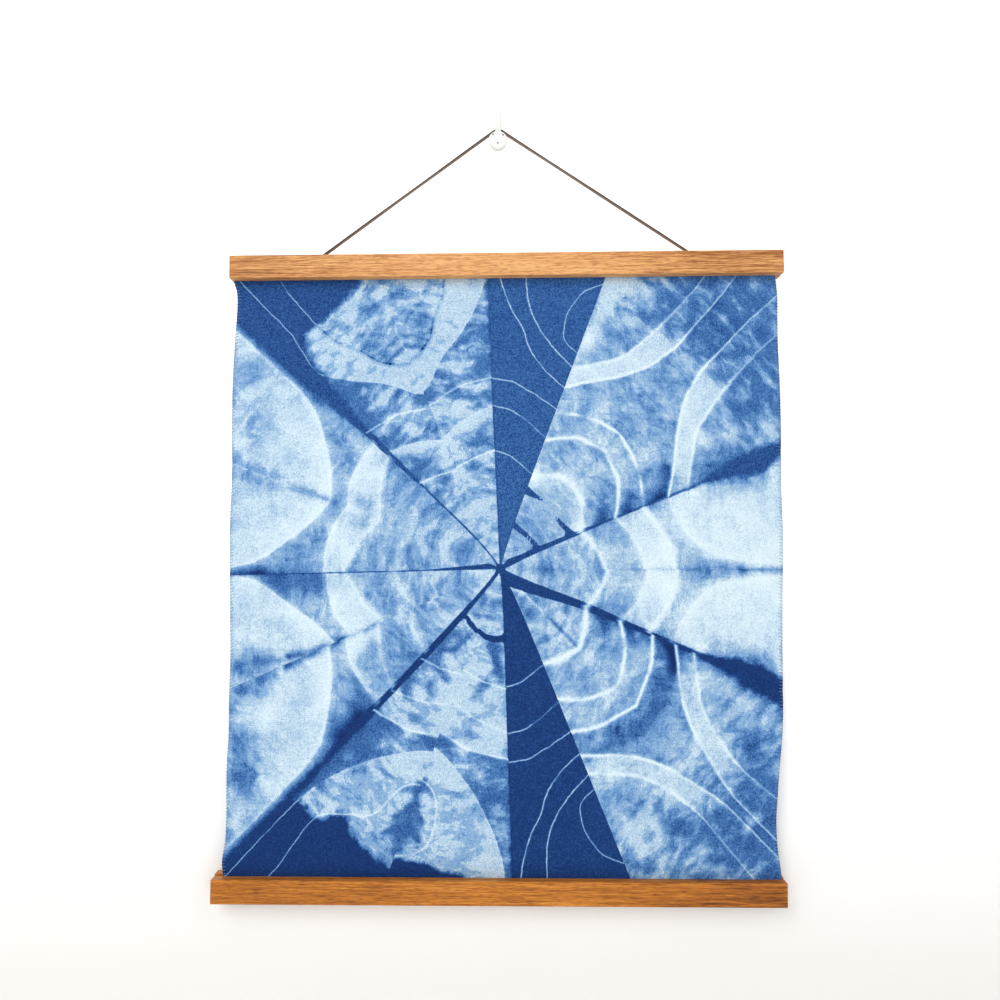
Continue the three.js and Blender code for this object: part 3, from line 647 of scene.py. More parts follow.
def cloth_lift(x, z):
    """How far the cloth stands to the front of the slats' parting plane: sharp ridges and valleys along
    the folds, soft swells, curled sides and small creases, all faded out where the slats hold it."""
    dx, dz = x - FOLD_CENTRE[0], z - FOLD_CENTRE[1]
    radius, direction = np.hypot(dx, dz), np.degrees(np.arctan2(dz, dx))
    lift = np.zeros_like(radius)
    for number, (_, height, _) in enumerate(FOLDS):
        turn = np.radians(direction - fold_direction(number, radius))
        along, aside = radius * np.cos(turn), np.abs(radius * np.sin(turn))
        lift += np.where(along > 0, height * np.exp(-aside / FOLD_REACH), 0)
    lift *= smooth_step(radius, 0, FOLD_CENTRE_CALM)
    for sx, sz, height, reach in SWELLS:
        lift += height * np.exp(-((x - sx) ** 2 + (z - sz) ** 2) / reach**2)
    for x0, z0, x1, z1, height, reach in CREASES:
        length = math.hypot(x1 - x0, z1 - z0)
        along = ((x - x0) * (x1 - x0) + (z - z0) * (z1 - z0)) / length
        aside = ((x - x0) * (z1 - z0) - (z - z0) * (x1 - x0)) / length
        fade = smooth_step(along, *CREASE_START) * (1 - smooth_step(along, length * 0.5, length + CREASE_END))
        lift += height * fade * np.exp(-np.sqrt(aside**2 + 1) / reach)
    left, right, left_curl, right_curl = cloth_side_values(z)
    lift += left_curl * np.exp(-(((x - left) / CURL_REACH) ** 2))
    lift += right_curl * np.exp(-(((right - x) / CURL_REACH) ** 2))
    from_top = along_top(x, -SLAT_HEIGHT / 2) - z
    from_bottom = z - (BOTTOM_MIDDLE[1] + SLAT_HEIGHT / 2)
    return lift * smooth_step(np.minimum(from_top, from_bottom) - HELD_MARGIN, 0, HELD_FADE)


class Fan:
    """The cloth's grid: rings round the fold centre, each cut into sixteen sectors at the folds.

    Ring k of RINGS has POINTS_PER_RING * k cells in each sector, and a point stands at k/RINGS of the
    way to the outline, in a direction shared out evenly between the sector's two folds. A sector keeps
    its own copy of the points on its two folds, so that dye can change from one layer to the next.
    """

    def __init__(self):
        self.cells = np.maximum(1, np.round(POINTS_PER_RING * np.arange(1, RINGS + 1))).astype(int)
        points = [(SECTORS, np.full(16, 0.5), np.zeros(16, int), np.zeros(16, int))]
        self.copy_start, copies, self.vertices = [], 16, 1
        for number, count in enumerate(self.cells, 1):
            step = np.tile(np.arange(count + 1), 16)
            home = np.repeat(SECTORS, count + 1)
            vertex = self.vertices + (home * count + step) % (16 * count)
            points.append((home, step / count, np.full(len(step), number), vertex))
            self.copy_start.append(copies)
            copies += 16 * (count + 1)
            self.vertices += 16 * count
        self.sector, place, ring, self.vertex = map(np.concatenate, zip(*points))
        start, end = (fold_direction(self.sector + side, FAR) for side in (0, 1))
        plain_reach = rim_reach(start + (end - start) * place)

        def direction(radius):
            first, second = fold_direction(self.sector, radius), fold_direction(self.sector + 1, radius)
            return first + (second - first) * place

        self.radius = ring / RINGS * rim_reach(direction(plain_reach))
        self.direction = np.radians(direction(ring / RINGS * plain_reach))
        self.x = FOLD_CENTRE[0] + self.radius * np.cos(self.direction)
        self.z = FOLD_CENTRE[1] + self.radius * np.sin(self.direction)
        self.share = np.where(self.sector % 2 == 0, place, 1 - place)

    def faces(self):
        """Three-cornered faces in sector points. Between two rings, each outer cell meets the inner point of
        the same number, and each inner cell meets the next outer point."""
        first = self.copy_start[0] + 2 * SECTORS
        made = [np.stack([SECTORS, first, first + 1], -1)]
        for number in range(RINGS - 1):
            inner, outer = self.cells[number : number + 2]
            inside = self.copy_start[number] + SECTORS[:, None] * (inner + 1)
            outside = self.copy_start[number + 1] + SECTORS[:, None] * (outer + 1)
            j, i = np.arange(outer), np.arange(inner)
            outer_faces = np.stack([outside + j, outside + j + 1, inside + np.minimum(j, inner)], -1)
            inner_faces = np.stack([inside + i, outside + i + 1, inside + i + 1], -1)
            made += [outer_faces.reshape(-1, 3), inner_faces.reshape(-1, 3)]
        return np.vstack(made)

    def rim(self):
        """Pairs of sector points along the outline."""
        count = self.cells[-1]
        first = self.copy_start[-1] + SECTORS[:, None] * (count + 1) + np.arange(count)
        return np.stack([first, first + 1], -1).reshape(-1, 2)


def in_wedge(radius, share):
    """A mark's place in the folded wedge, flat, from its radius and its share of the way between folds."""
    turn = np.asarray(share) * WEDGE_ANGLE
    return np.stack([np.asarray(radius) * np.cos(turn), np.asarray(radius) * np.sin(turn)], -1)


def side_of_line(spots, line):
    """Distance from each spot to a line, with a plus sign on the line's right-hand side."""
    nearest, signed = np.full(len(spots), np.inf), np.zeros(len(spots))
    for a, b in zip(line[:-1], line[1:]):
        span = b - a
        share = np.clip(((spots - a) @ span) / (span @ span), 0, 1)
        away = spots - (a + share[:, None] * span)
        distance = np.hypot(away[:, 0], away[:, 1])
        turn = (spots[:, 0] - a[0]) * span[1] - (spots[:, 1] - a[1]) * span[0]
        closer = distance < nearest
        nearest = np.where(closer, distance, nearest)
        signed = np.where(closer, np.where(turn >= 0, distance, -distance), signed)
    return signed


def wedge_line(path):
    return smooth_line(in_wedge(*np.array(path, float).T), WEDGE_CURVE_STEPS)


def packet_spots(fan):
    """Each sector point's place in the folded wedge, with the slips of its layer taken back."""
    even, odd, round_slip = np.array([SLIPS[number] for number in range(16)], float)[fan.sector].T
    slip = (even + (odd - even) * fan.share) * smooth_step(fan.radius, *SLIP_FROM)
    radius = np.maximum(fan.radius - slip, 0)
    return in_wedge(radius, fan.share - round_slip * smooth_step(fan.radius, *ROUND_SLIP_FROM))


def zone_tones(pair, strings, sides, zone):
    """The dye's depth in each spot's zone, paler by an exponential towards the strings on its two sides."""
    value = np.array(pair.tones)[zone]
    for turn, string in enumerate(strings, 1):
        distance = np.abs(sides[turn - 1])
        for (paler, reach), side in ((string.outside, turn), (string.inside, turn - 1)):
            value = value - np.where(zone == side, paler * np.exp(-distance / reach), 0)
    return value


def dye_layers(fan):
    """The dye at each sector point, from the tables above.

    String distance is that to the nearest string, with a plus sign after an even number of strings and a
    minus sign after an odd one, so that it runs evenly through zero at each. Two tones are kept, for the
    even and the odd side, so that the shader can change from one to the other sharply on the string.
    """
    spots = packet_spots(fan)
    crisp, signed, gain, width, seed = np.zeros((5, len(spots)))
    tones = np.zeros((2, len(spots)))
    for number, pair in enumerate(PAIRS):
        for sector in pair.sectors:
            strings = list(pair.strings)
            if sector in STRAYS:
                strayed, path = STRAYS[sector]
                strings[strayed] = strings[strayed]._replace(path=path)
            here = fan.sector == sector
            sides = np.stack([side_of_line(spots[here], wedge_line(string.path)) for string in strings])
            passed = (sides > 0).sum(0)
            nearest = np.abs(sides).argmin(0)
            away = np.abs(sides).min(0)
            other = np.clip(np.where(nearest >= passed, passed + 1, passed - 1), 0, len(strings))
            even = passed % 2 == 0
            tones[0, here] = zone_tones(pair, strings, sides, np.where(even, passed, other))
            tones[1, here] = zone_tones(pair, strings, sides, np.where(even, other, passed))
            signed[here] = np.where(even, away, -away)
            gain[here], width[here] = np.array([string.line for string in strings])[nearest].T
            near, middle, far = pair.crisp
            crisp[here] = near + (middle - near) * smooth_step(fan.radius[here], *CRISP_INNER)
            crisp[here] += (far - middle) * smooth_step(fan.radius[here], *CRISP_OUTER)
            seed[here] = number
    for sectors, strokes in STROKES.items():
        here = np.isin(fan.sector, sectors)
        for r0, s0, r1, s1, half, change in strokes:
            line = in_wedge([r0, r1], [s0, s1])
            tones[:, here] += change * np.exp(-((side_of_line(spots[here], line) / half) ** 2))
    ink = np.maximum(CENTRE_INK_RADIUS - fan.radius, NO_INK)
    for fold, sector, widths, bleed_reach, bleed in FOLD_INK:
        here = fan.sector == sector
        turn = fan.direction[here] - np.radians(fold_direction(fold, fan.radius[here]))
        aside = fan.radius[here] * np.abs(np.sin(turn))
        half = np.interp(fan.radius[here], *np.array(widths, float).T)
        ink[here] = np.maximum(ink[here], half - aside)
        fade = smooth_step(fan.radius[here], *BLEED_FROM)
        tones[:, here] += bleed * fade * np.exp(-np.maximum(aside - half, 0) / bleed_reach)
    for sectors, (r0, s0, half0), (r1, s1, half1) in INK_MARKS:
        here = np.isin(fan.sector, sectors)
        start, end = in_wedge([r0, r1], [s0, s1])
        gone = np.clip((spots[here] - start) @ (end - start) / ((end - start) @ (end - start)), 0, 1)
        aside = np.linalg.norm(spots[here] - start - gone[:, None] * (end - start), axis=1)
        ink[here] = np.maximum(ink[here], half0 + (half1 - half0) * gone - aside)
    for sector, path in DARK_CORNERS.items():
        here = fan.sector == sector
        ink[here] = np.maximum(ink[here], side_of_line(spots[here], wedge_line(path)))
    in_corner = (ink > 0) & (fan.radius > CORNER_RADIUS) & np.isin(fan.sector, list(DARK_CORNERS))
    gain[in_corner], width[in_corner] = CORNER_LINE
    outside = smooth_step(fan.radius, *FAINTER_FROM) * np.isin(fan.sector, UPPER_RIGHT + LOWER_RIGHT)
    gain, width = gain * (1 - FAINTER * outside), width * (1 - THINNER * outside)
    wide = smooth_step(fan.radius, *FEATHER_FROM)
    softness, feather = (low + (high - low) * wide for low, high in (INK_SOFTNESS, INK_FEATHER))
    return {
        "dye_tone": np.stack([*tones, crisp], -1),
        "string_mark": np.stack([signed, gain, width], -1),
        "ink_run": np.stack([ink, softness, feather], -1),
        "wedge_place": np.stack([*spots.T, PAIR_SPACING * seed], -1) * MM,
    }


def thread_speckle(finish, weave):
    """How much more or less dye each spot of the weave took: every crossing by chance, every thread a
    little along its whole length, and small patches of threads together."""
    threads = finish.stretched(weave, (1 / THREAD_PITCH, 1 / THREAD_PITCH, 0))
    crossing = finish.vector("FLOOR", threads)
    by_chance = finish.node("TexWhiteNoise", {"Vector": crossing}, noise_dimensions="3D")
    across = finish.noise(finish.stretched(weave, (120, 1150, 1)), 1.0, 1, 0.5)
    upright = finish.noise(finish.stretched(weave, (1150, 120, 1)), 1.0, 1, 0.5)
    patches = finish.noise(weave, 420, 2, 0.7)
    both = finish.times_plus(finish.plus(across, upright), 0.5, -0.5)
    return finish.plus(both, finish.centred(patches, 0.9), finish.centred(by_chance.outputs["Value"], 1.1))


def layered_dye(finish, wedge, place):
    """Depth of dye before ink and strings: watery clouds with streaks along the threads, blended with torn
    crisp-edged patches of a few flat depths."""
    even, odd, crisp = finish.split(finish.attribute("dye_tone", "Vector"))
    turn = finish.split(finish.attribute("string_mark", "Vector"))[0]
    bend = finish.noise(place, 30, 3, 0.6, output="Color")
    bend = finish.vector("MULTIPLY", finish.vector("SUBTRACT", bend, (0.5, 0.5, 0.5)), (0.012, 0.012, 0.0))
    wedge = finish.vector("ADD", wedge, bend)
    soft = finish.blend(finish.scaled(turn, -1.4, 1.4), odd, even)
    sharp = finish.blend(finish.scaled(turn, -0.5, 0.5), odd, even)
    clouds = finish.noise(wedge, 34, 3, 0.55, 0.8)
    across = finish.noise(finish.stretched(place, (38, 1, 210)), 1.0, 3, 0.6, 0.4)
    upright = finish.noise(finish.stretched(place, (210, 1, 38)), 1.0, 3, 0.6, 0.4)
    torn = finish.noise(finish.stretched(wedge, (1.0, 0.5, 1.0)), 100, 3, 0.55, 0.3)
    patches = finish.noise(finish.stretched(wedge, (1.0, 0.6, 1.0)), 42, 4, 0.62, 0.5)
    room = finish.times(finish.scaled(soft, 0.84, 0.6, 0.05, 1.0), finish.scaled(soft, 0.16, 0.46, 0.3, 1.0))
    streaks = finish.times_plus(finish.math("MAXIMUM", across, upright), 0.7, -0.39)
    edges = finish.scaled(torn, 0.52, 0.55, -0.05, 0.05)
    shift = finish.plus(finish.centred(clouds, 0.9), streaks, edges, finish.centred(patches, 0.35))
    watery = finish.times_plus(shift, room, soft)
    shift = finish.plus(finish.centred(patches, 1.7), finish.centred(torn, 1.7))
    uneven = finish.times_plus(shift, finish.scaled(sharp, 0.22, 0.42, 0.4, 1.0), sharp)
    flat = finish.ramp(uneven, *((spot, (value, value, value, 1)) for spot, value in FLAT_DEPTHS))
    return finish.blend(crisp, watery, finish.plus(flat, finish.centred(clouds, 0.14)))


def string_lines(finish, depth, wedge):
    """Takes dye away along each string: a line that fades to both sides, uneven along its length. A string
    whose gain is below nought adds dye, in dashes."""
    turn, gain, width = finish.split(finish.attribute("string_mark", "Vector"))
    wander = finish.centred(finish.noise(wedge, 90, 2, 0.5), 2.4)
    reach = finish.math("DIVIDE", finish.plus(turn, wander), width)
    line = finish.math("EXPONENT", finish.times(reach, reach, -1.0))
    gaps = finish.scaled(finish.noise(wedge, 42, 2, 0.5), 0.30, 0.50, 0.35, 1.0)
    dashes = finish.scaled(finish.noise(wedge, 95, 2, 0.6), 0.45, 0.5)
    gaps = finish.blend(finish.math("LESS_THAN", gain, 0.0), gaps, dashes)
    return finish.math("SUBTRACT", depth, finish.times(line, gain, gaps, depth))


def ink_runs(finish, depth, place):
    """Full dye where it ran along the folds and over the corners, with a feathered edge where it is wide."""
    side, softness, feather = finish.split(finish.attribute("ink_run", "Vector"))
    plumes = finish.noise(place, 120, 4, 0.6, 0.6)
    side = finish.times_plus(finish.math("SUBTRACT", plumes, 0.5), feather, side)
    inked = finish.scaled(finish.math("DIVIDE", side, softness), -1.0, 1.0)
    full = finish.scaled(finish.split(place)[2], -0.45, -0.3, 0.94, 0.865)
    return finish.blend(inked, depth, full)


def dyed_cotton():
    """Plain-weave cotton: the depth of dye at each spot as a blue, with a speckle and a bump by thread."""
    finish = Finish("dyed_cotton")
    wedge, place = finish.attribute("wedge_place", "Vector"), finish.place()
    weave = finish.node("UVMap", uv_map="weave").outputs[0]
    speckle = thread_speckle(finish, weave)
    depth = layered_dye(finish, wedge, place)
    depth = ink_runs(finish, depth, place)
    depth = string_lines(finish, depth, wedge)
    depth = finish.times_plus(speckle, finish.scaled(depth, 0.78, 0.92, 0.16, 0.08), depth)
    blue = finish.ramp(depth, *((spot, tint(*colour)) for spot, colour in DYE_BLUES))
    finish.surface(Base_Color=blue, Roughness=0.92, Specular_IOR_Level=0.2)
    finish.surface(Sheen_Weight=0.06, Sheen_Roughness=0.5)
    waves = finish.split(finish.stretched(weave, (math.pi / THREAD_PITCH, math.pi / THREAD_PITCH, 1)))
    cover = finish.times(finish.math("SINE", waves[0]), finish.math("SINE", waves[1]))
    finish.bump(finish.plus(cover, speckle), 0.00008, 0.6)
    return finish.material


def dyed_cloth():
    """The cloth as a closed thin sheet: the fan's points on the lifted surface, half the thickness to the
    front and half to the back, with the two skins joined round the outline."""
    fan = Fan()
    skin = np.zeros((fan.vertices, 3))
    skin[fan.vertex] = np.stack([fan.x, CLOTH_Y - cloth_lift(fan.x, fan.z), fan.z], -1)
    half = np.array([0, CLOTH_THICKNESS / 2, 0])
    front, rim = fan.faces(), fan.rim()
    back = front[:, ::-1]
    start, end = fan.vertex[rim].T
    rim_quads = np.stack([start, start + fan.vertices, end + fan.vertices, end], -1)
    cloth = mesh_object(
        "dyed_cloth_sheet",
        np.vstack([skin - half, skin + half]),
        fan.vertex[front], fan.vertex[back] + fan.vertices, rim_quads,
    )
    corner = np.concatenate([front.ravel(), back.ravel(), rim[:, [0, 0, 1, 1]].ravel()])
    for name, values in dye_layers(fan).items():
        store(cloth, name, "FLOAT_VECTOR", "CORNER", values[corner])
    weave = cloth.data.uv_layers.new(name="weave")
    flat = np.stack([fan.x, fan.z], -1)[corner] * MM
    weave.data.foreach_set("uv", flat.astype(np.float32).ravel())
    return finish_piece(cloth, dyed_cotton(), "dyed_cotton", "dyed_cloth")


def tube_rings(path, radius, sides):
    """Rings of points round a path, across its direction."""
    ahead = unit(np.gradient(path, axis=0))
    first = unit(np.cross(ahead, (0.13, 0.2, 0.97)))
    second = np.cross(ahead, first)
    around = np.linspace(0, 2 * np.pi, sides, endpoint=False)
    circle = first[:, None] * np.cos(around)[:, None] + second[:, None] * np.sin(around)[:, None]
    return path[:, None] + radius * circle


def edge_stitches(name, column, inward):
    """Overlock thread round one side edge: a flattened helix that goes over the front, round the edge and
    back behind, one turn to each stitch. The way in from the edge is about STITCH_DEPTH at most."""
    low = BOTTOM_MIDDLE[1] + SLAT_HEIGHT / 2 - 2
    high = TOP_MIDDLE[1] - SLAT_HEIGHT / 2 + 2
    turns = int((high - low) / STITCH_PITCH)
    phase = np.linspace(0, 2 * np.pi * turns, turns * STITCH_STEPS + 1)
    uneven = 0.12 * np.sin(phase * 0.37) + 0.1 * np.sin(phase * 0.173 + 1)
    z = low + STITCH_PITCH * (phase + STITCH_SLANT * np.sin(phase)) / (2 * np.pi)
    into = STITCH_DEPTH / 2 * (1 + uneven) * (1 - np.cos(phase)) - STITCH_OVERHANG
    x = cloth_side_values(z)[column] + inward * into
    stand = STITCH_STAND * np.sign(np.sin(phase)) * np.abs(np.sin(phase)) ** 0.6
    path = np.stack([x, CLOTH_Y - cloth_lift(x, z) - stand, z], -1)
    stitches = mesh_object(name, *ring_skin(tube_rings(path, THREAD_RADIUS, THREAD_SIDES)))
    wear = np.repeat(np.clip(1 - into / STITCH_WEAR_REACH, 0, 1), THREAD_SIDES)
    store(stitches, "edge_wear", "FLOAT", "POINT", np.concatenate([wear, [0, 0]]))
    return finish_piece(stitches, stitch_thread(), "dyed_cotton")


def stitch_thread():
    """Dyed sewing thread, greyer where it goes round the edge. Both edges share it."""
    kept = bpy.data.materials.get("stitch_thread")
    if kept:
        return kept
    finish = Finish("stitch_thread")
    place = finish.place()
    fibres = finish.noise(place, 900, 3, 0.6)
    dyed = finish.noise(place, 45, 2, 0.5)
    thread = finish.ramp(dyed, (0.3, tint(126, 156, 190)), (0.7, tint(86, 122, 166)))
    worn = finish.times(finish.attribute("edge_wear"), finish.scaled(fibres, 0.35, 0.6, 0.5, 1.0))
    colour = finish.blend_colours(worn, thread, tint(74, 90, 104))
    finish.surface(Base_Color=colour, Roughness=0.85, Sheen_Weight=0.1)
    finish.bump(fibres, 0.00005, 0.6)
    return finish.material


# Slats, cord holes and wood


def slat_surface(middle_x, middle_y, middle_z, tilt):
    """A slat as a rounded rectangle swept along its length, with its ends rounded by the same amount.

    Each ring shrinks towards the end by rounding * (1 - sin) while it moves on by rounding * (1 - cos).
    """
    arc = np.linspace(0, np.pi / 2, 5)
    r = SLAT_ROUNDING
    corner_turns = np.concatenate([arc + quarter * np.pi / 2 for quarter in range(4)])
    y_signs = np.repeat([1, -1, -1, 1], len(arc))
    z_signs = np.repeat([1, 1, -1, -1], len(arc))
    half_length = SLAT_LENGTH / 2
    inner = np.linspace(-half_length + r, half_length - r, 48)[1:-1]
    end_in, end_on = r * (1 - np.sin(arc)), r * (1 - np.cos(arc))
    stations = np.concatenate([-half_length + end_on, inner, half_length - end_on[::-1]])
    shrink = np.concatenate([end_in, np.zeros(len(inner)), end_in[::-1]])[:, None]
    y = y_signs * (SLAT_THICKNESS / 2 - r) + (r - shrink) * np.cos(corner_turns)
    z = z_signs * (SLAT_HEIGHT / 2 - r) + (r - shrink) * np.sin(corner_turns)
    x = np.repeat(stations[:, None], y.shape[1], 1)
    cos, sin = math.cos(math.radians(tilt)), math.sin(math.radians(tilt))
    return ring_skin(np.stack([middle_x + x * cos - z * sin, middle_y + y, middle_z + x * sin + z * cos], -1))


def bore_cord_holes(slat):
    """Cuts the two blind holes in the slat's top edge, each a round bore along the cord's end."""
    for mouth, inside in ((CORD_ROUTE[1], CORD_ROUTE[0]), (CORD_ROUTE[-2], CORD_ROUTE[-1])):
        way = unit(np.subtract(inside, mouth))
        path = np.array([mouth - way * CORD_HOLE_LEAD, mouth + way * CORD_HOLE_DEPTH])
        cutter = mesh_object("cutter", *ring_skin(tube_rings(path, CORD_HOLE_RADIUS, 32)))
        cut = slat.modifiers.new("hole", "BOOLEAN")
        cut.operation, cut.solver, cut.object = "DIFFERENCE", "EXACT", cutter
        shape = bpy.data.meshes.new_from_object(slat.evaluated_get(bpy.context.evaluated_depsgraph_get()))
        slat.modifiers.clear()
        slat.data = shape
        bpy.data.objects.remove(cutter)


def oiled_wood(name, tilt, shift, tones, ends):
    """Straight-grained oiled wood: long streaks, fine lines and short dark pores, all along the slat, and
    darker towards its two ends by the given shares."""
    finish = Finish(name)
    board = finish.stretched(finish.place(), (1, 1, 1), (0, math.radians(tilt), 0), shift)
    streaks = finish.noise(finish.stretched(board, (1.6, 90, 90)), 1.0, 2, 0.5, 0.3)
    lines = finish.noise(finish.stretched(board, (26, 640, 640)), 1.0, 2, 0.9)
    pores = finish.noise(finish.stretched(board, (130, 1250, 1250)), 1.0, 1, 0.5)
    x = finish.split(finish.place())[0]
    left, right = ends
    light, middle, deep = (tint(*colour) for colour in tones)
    # darker towards both ends of the slat, by the given shares
    darker_ends = finish.plus(finish.scaled(x, -0.23, -0.05, left, 0.0), finish.scaled(x, 0.05, 0.23, 0.0, right))
    tone = finish.plus(finish.times_plus(streaks, 0.25, finish.centred(lines, 0.85)), 0.375)
    tone = finish.math("SUBTRACT", tone, darker_ends)
    colour = finish.ramp(tone, (0.22, deep), (0.48, middle), (0.7, light))
    pore = finish.scaled(pores, 0.5, 0.64, 0.0, 0.4)
    finish.surface(
        Base_Color=finish.blend_colours(pore, colour, deep, "MULTIPLY"),
        Roughness=finish.scaled(lines, 0.2, 0.8, 0.5, 0.65),
        Specular_IOR_Level=0.3,
    )
    finish.bump(finish.math("SUBTRACT", lines, pore), 0.00012, 0.5)
    return finish.material


def wooden_slats():
    number = 0
    for level, (x, z), tilt, rear_rise, wood in (
        ("top", TOP_MIDDLE, TOP_TILT, 0.0, TOP_WOOD),
        ("bottom", BOTTOM_MIDDLE, 0.0, BOTTOM_REAR_RISE, BOTTOM_WOOD),
    ):
        for side, y, rise in (("front", FRONT_SLAT_Y, 0.0), ("rear", REAR_SLAT_Y, rear_rise)):
            name = f"{level}_{side}_board"
            slat = mesh_object(name, *slat_surface(x, y, z + rise, tilt))
            if (level, side) == ("top", "rear"):
                bore_cord_holes(slat)
            shift = (0.31 * number, 0.17 * number, 0.23 * number)
            material = oiled_wood(name + "_wood", tilt, shift, *wood)
            finish_piece(slat, material, "oiled_wood", f"{level}_{side}_slat")
            number += 1


# Hook


def turned(profile, place, sides=64):
    """A round solid: a profile of radius and depth, from front to back, turned about its own middle line."""
    radius, depth = np.array(profile, float).T
    around = np.linspace(0, 2 * np.pi, sides, endpoint=False)
    x = place[0] + radius[:, None] * np.cos(around)
    z = place[1] + radius[:, None] * np.sin(around)
    y = np.repeat(depth[:, None], sides, 1)
    return np.stack([x, y, z], -1)


def rounded_rim(radius, front, back, rounding):
    """A flat disc's profile whose two rims are quarter rounds."""
    arc = np.linspace(0, np.pi / 2, 7)
    side, along = rounding * np.sin(arc), rounding * np.cos(arc)
    near = np.stack([radius - rounding + side, front + rounding - along], -1)
    far = np.stack([radius - rounding + along, back - rounding + side], -1)
    return np.vstack([near, far])


def joined_skins(skins):
    """Several closed skins as one set of points and faces."""
    points, quads, caps = zip(*skins)
    starts = np.cumsum([0, *map(len, points[:-1])])
    return (
        np.vstack(points),
        np.vstack([faces + start for faces, start in zip(quads, starts)]),
        np.vstack([faces + start for faces, start in zip(caps, starts)]),
    )


def stem_rings():
    """The flat stem: a round-topped tongue whose edge is a quarter round at the front and back."""
    around = np.linspace(0, np.pi, 25)
    half = HOOK_STEM_WIDTH / 2
    rings = []
    for reach, depth in rounded_rim(half, HOOK_STEM_FRONT, HOOK_STEM_BACK, 0.6):
        x = np.concatenate([reach * np.cos(around), [-reach, reach]])
        z = np.concatenate([HOOK_STEM_TOP - half + reach * np.sin(around), [HOOK_STEM_FOOT] * 2])
        rings.append(np.stack([x, np.full(len(x), depth), z], -1))
    return np.array(rings)


def wall_hook():
    """The hook in one piece: back disc, peg, round front with a shallow dish, and stem. Three pins with
    domed heads stand in its front."""
    base = rounded_rim(HOOK_BASE_RADIUS, -HOOK_BASE_THICKNESS, 0.0, 0.35)
    peg = rounded_rim(HOOK_PEG_RADIUS, HOOK_DISC_FRONT + 0.8, -0.4, 0.3)
    disc = rounded_rim(HOOK_DISC_RADIUS, HOOK_DISC_FRONT, HOOK_DISC_BACK, HOOK_DISC_RIM)
    dish = np.array(HOOK_DISH) + (0, HOOK_DISC_FRONT)
    hook = mesh_object("wall_hook_body", *joined_skins([
        ring_skin(turned(base, (0, 0))),
        ring_skin(turned(peg, HOOK_PEG_PLACE)),
        ring_skin(turned(np.vstack([dish, disc]), (0, 0), 96)),
        ring_skin(stem_rings()),
    ]))
    finish_piece(hook, white_plastic(), "white_plastic", "wall_hook")
    arc = np.linspace(0.12, np.pi / 2, 6)
    dome = np.stack([PIN_RADIUS * np.sin(arc), HOOK_DISC_FRONT + 0.12 - PIN_STAND * np.cos(arc)], -1)
    dome = np.vstack([dome, [(PIN_RADIUS, HOOK_DISC_FRONT + 0.6)]])
    pins = mesh_object("hook_pins", *joined_skins([ring_skin(turned(dome, spot, 20)) for spot in HOOK_PINS]))
    finish_piece(pins, pin_steel(), "white_plastic")


def white_plastic():
    """White moulded plastic, with painted shade: a little greyer on the lower rim of the round front and on
    the stem's sides.
    """
    finish = Finish("white_plastic")
    place = finish.place()
    sheen = finish.noise(place, 260, 3, 0.5)
    white = finish.ramp(sheen, (0.3, tint(232, 234, 231)), (0.7, tint(240, 242, 239)))
    x, _, z = finish.split(place)
    radius = finish.math("SQRT", finish.plus(finish.times(x, x), finish.times(z, z)))
    # painted shade: the lower rim of the round front and the two sides of the stem are blended towards grey
    rim = finish.times(finish.scaled(radius, 0.0062, 0.0084), finish.scaled(z, 0.002, -0.005))
    sides = finish.scaled(finish.math("ABSOLUTE", x), 0.0018, 0.0024)
    sides = finish.times(sides, finish.scaled(z, 0.008, 0.009), 0.9)
    finish.surface(
        Base_Color=finish.blend_colours(finish.math("MAXIMUM", rim, sides), white, tint(208, 214, 209)),
        Roughness=finish.scaled(sheen, 0.3, 0.7, 0.32, 0.42),
    )
    finish.bump(sheen, 0.00004, 0.3)
    return finish.material


def pin_steel():
    finish = Finish("pin_steel")
    marks = finish.noise(finish.place(), 2400, 2, 0.5)
    finish.surface(
        Base_Color=finish.ramp(marks, (0.3, tint(118, 118, 120)), (0.7, tint(158, 158, 160))),
        Metallic=1.0,
        Roughness=finish.scaled(marks, 0.3, 0.7, 0.3, 0.45),
    )
    return finish.material


# Stage and light


def flat_plane(name, corners, material):
    plane = mesh_object(name, np.array(corners) / MM, np.array([[0, 1, 2, 3]]), smooth=False)
    plane.data.materials.append(material)
    return plane


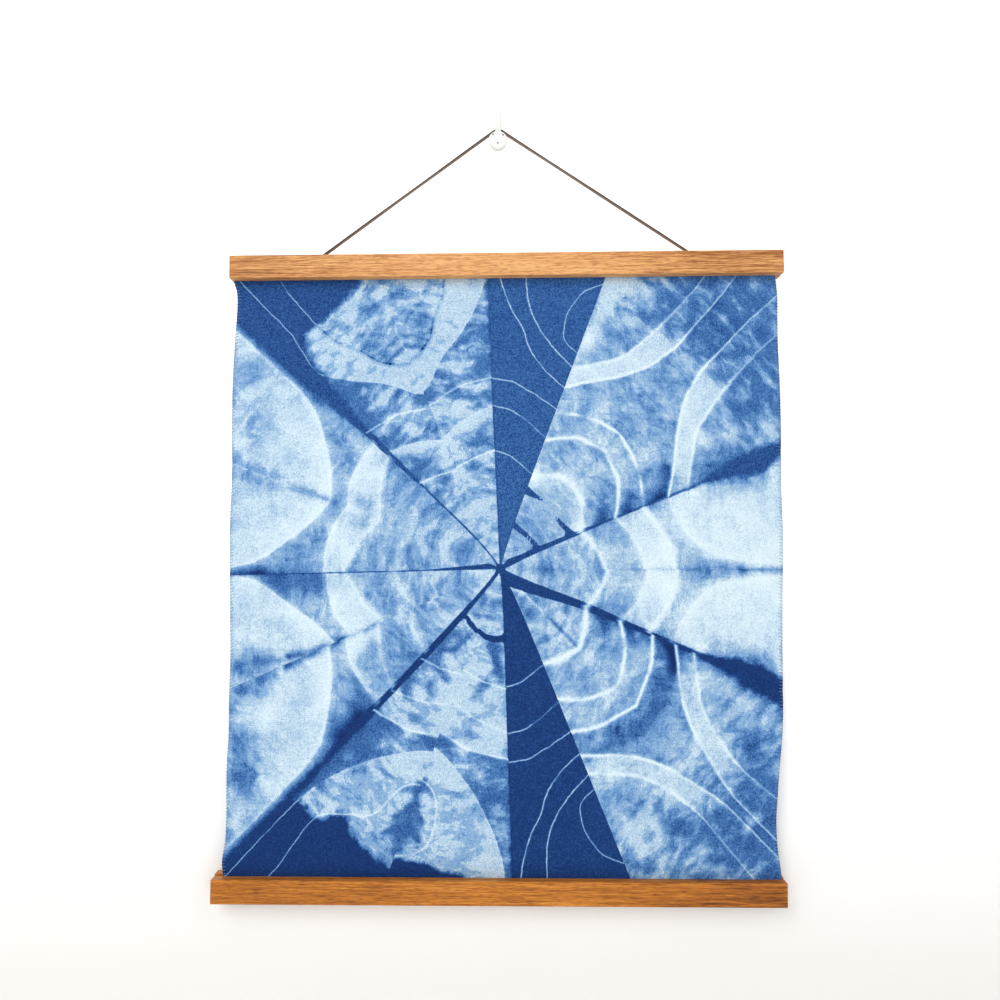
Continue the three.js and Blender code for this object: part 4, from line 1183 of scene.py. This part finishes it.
def pale_plaster():
    """White wall paint with painted light, a little glow higher up, and painted shade, greyer and warmer low
    down; it is seen through from behind.
    """
    finish = Finish("pale_plaster")
    grain = finish.noise(finish.place(), 14, 3, 0.5)
    plain = finish.ramp(grain, (0.3, (0.94, 0.94, 0.935, 1)), (0.7, (0.96, 0.96, 0.955, 1)))
    z = finish.split(finish.place())[2]
    # painted shade: the wall turns greyer and warmer towards the floor, below about -0.54 m
    low = finish.scaled(z, -0.74, -0.54, 1.0, 0.0)
    finish.surface(
        Base_Color=finish.blend_colours(low, plain, (0.83, 0.815, 0.79, 1)),
        Roughness=0.95,
        Emission_Color=(1, 1, 1, 1),
        # painted light: the wall glows more the higher up it is, up to a strength of 0.4
        Emission_Strength=finish.scaled(z, -0.62, -0.3, 0.0, 0.4),
        Specular_IOR_Level=0.0,
    )
    behind = finish.node("NewGeometry").outputs["Backfacing"]
    clear = finish.node("BsdfTransparent").outputs[0]
    mix = finish.node("MixShader", {0: behind, 1: finish.shader.outputs[0], 2: clear})
    finish.put(finish.output.inputs["Surface"], mix.outputs[0])
    return finish.material


def pale_floor():
    finish = Finish("pale_floor")
    grain = finish.noise(finish.place(), 9, 3, 0.5)
    grey = finish.ramp(grain, (0.3, (0.84, 0.84, 0.83, 1)), (0.7, (0.88, 0.88, 0.87, 1)))
    finish.surface(Base_Color=grey, Roughness=0.9)
    return finish.material


def stage():
    left, right, top, reach = -WALL_HALF_WIDTH, WALL_HALF_WIDTH, WALL_TOP, FLOOR_REACH
    wall_corners = [(x, WALL_Y, z) for x, z in ((left, FLOOR_Z), (right, FLOOR_Z), (right, top), (left, top))]
    floor_corners = [(x * reach, y * reach, FLOOR_Z) for x, y in ((-1, -1), (1, -1), (1, 1), (-1, 1))]
    wall = flat_plane("wall", wall_corners, pale_plaster())
    wall.visible_shadow = False
    flat_plane("floor", floor_corners, pale_floor())


def soft_light(name, place, size, power):
    """A square lamp that points at the middle of the cloth."""
    lamp = bpy.data.lights.new(name, "AREA")
    lamp.shape = "RECTANGLE"
    lamp.size = lamp.size_y = size
    lamp.energy = power
    lamp_object = bpy.data.objects.new(name, lamp)
    aim = (Vector(LIGHT_TARGET) - Vector(place)).to_track_quat("-Z", "Y")
    lamp_object.matrix_world = Matrix.Translation(place) @ aim.to_matrix().to_4x4()
    bpy.context.scene.collection.objects.link(lamp_object)


def studio_light():
    soft_light("window_light", (-0.9, -2.0, 0.9), 1.6, 30)
    soft_light("room_light", (1.4, -1.8, 0.2), 2.0, 8)
    soft_light("back_light", (-0.8, 1.8, 0.8), 1.8, 22)
    world = bpy.data.worlds.new("pale_room")
    world.use_nodes = True
    sky = world.node_tree.nodes["Background"]
    sky.inputs["Color"].default_value = (1.0, 0.985, 0.965, 1.0)
    sky.inputs["Strength"].default_value = 0.6
    bpy.context.scene.world = world
    bpy.context.scene.view_settings.view_transform = "Standard"


cloth = dyed_cloth()
left_stitches = edge_stitches("left_edge_stitches", 0, 1)
right_stitches = edge_stitches("right_edge_stitches", 1, -1)
wooden_slats()
wall_hook()
stage()
studio_light()
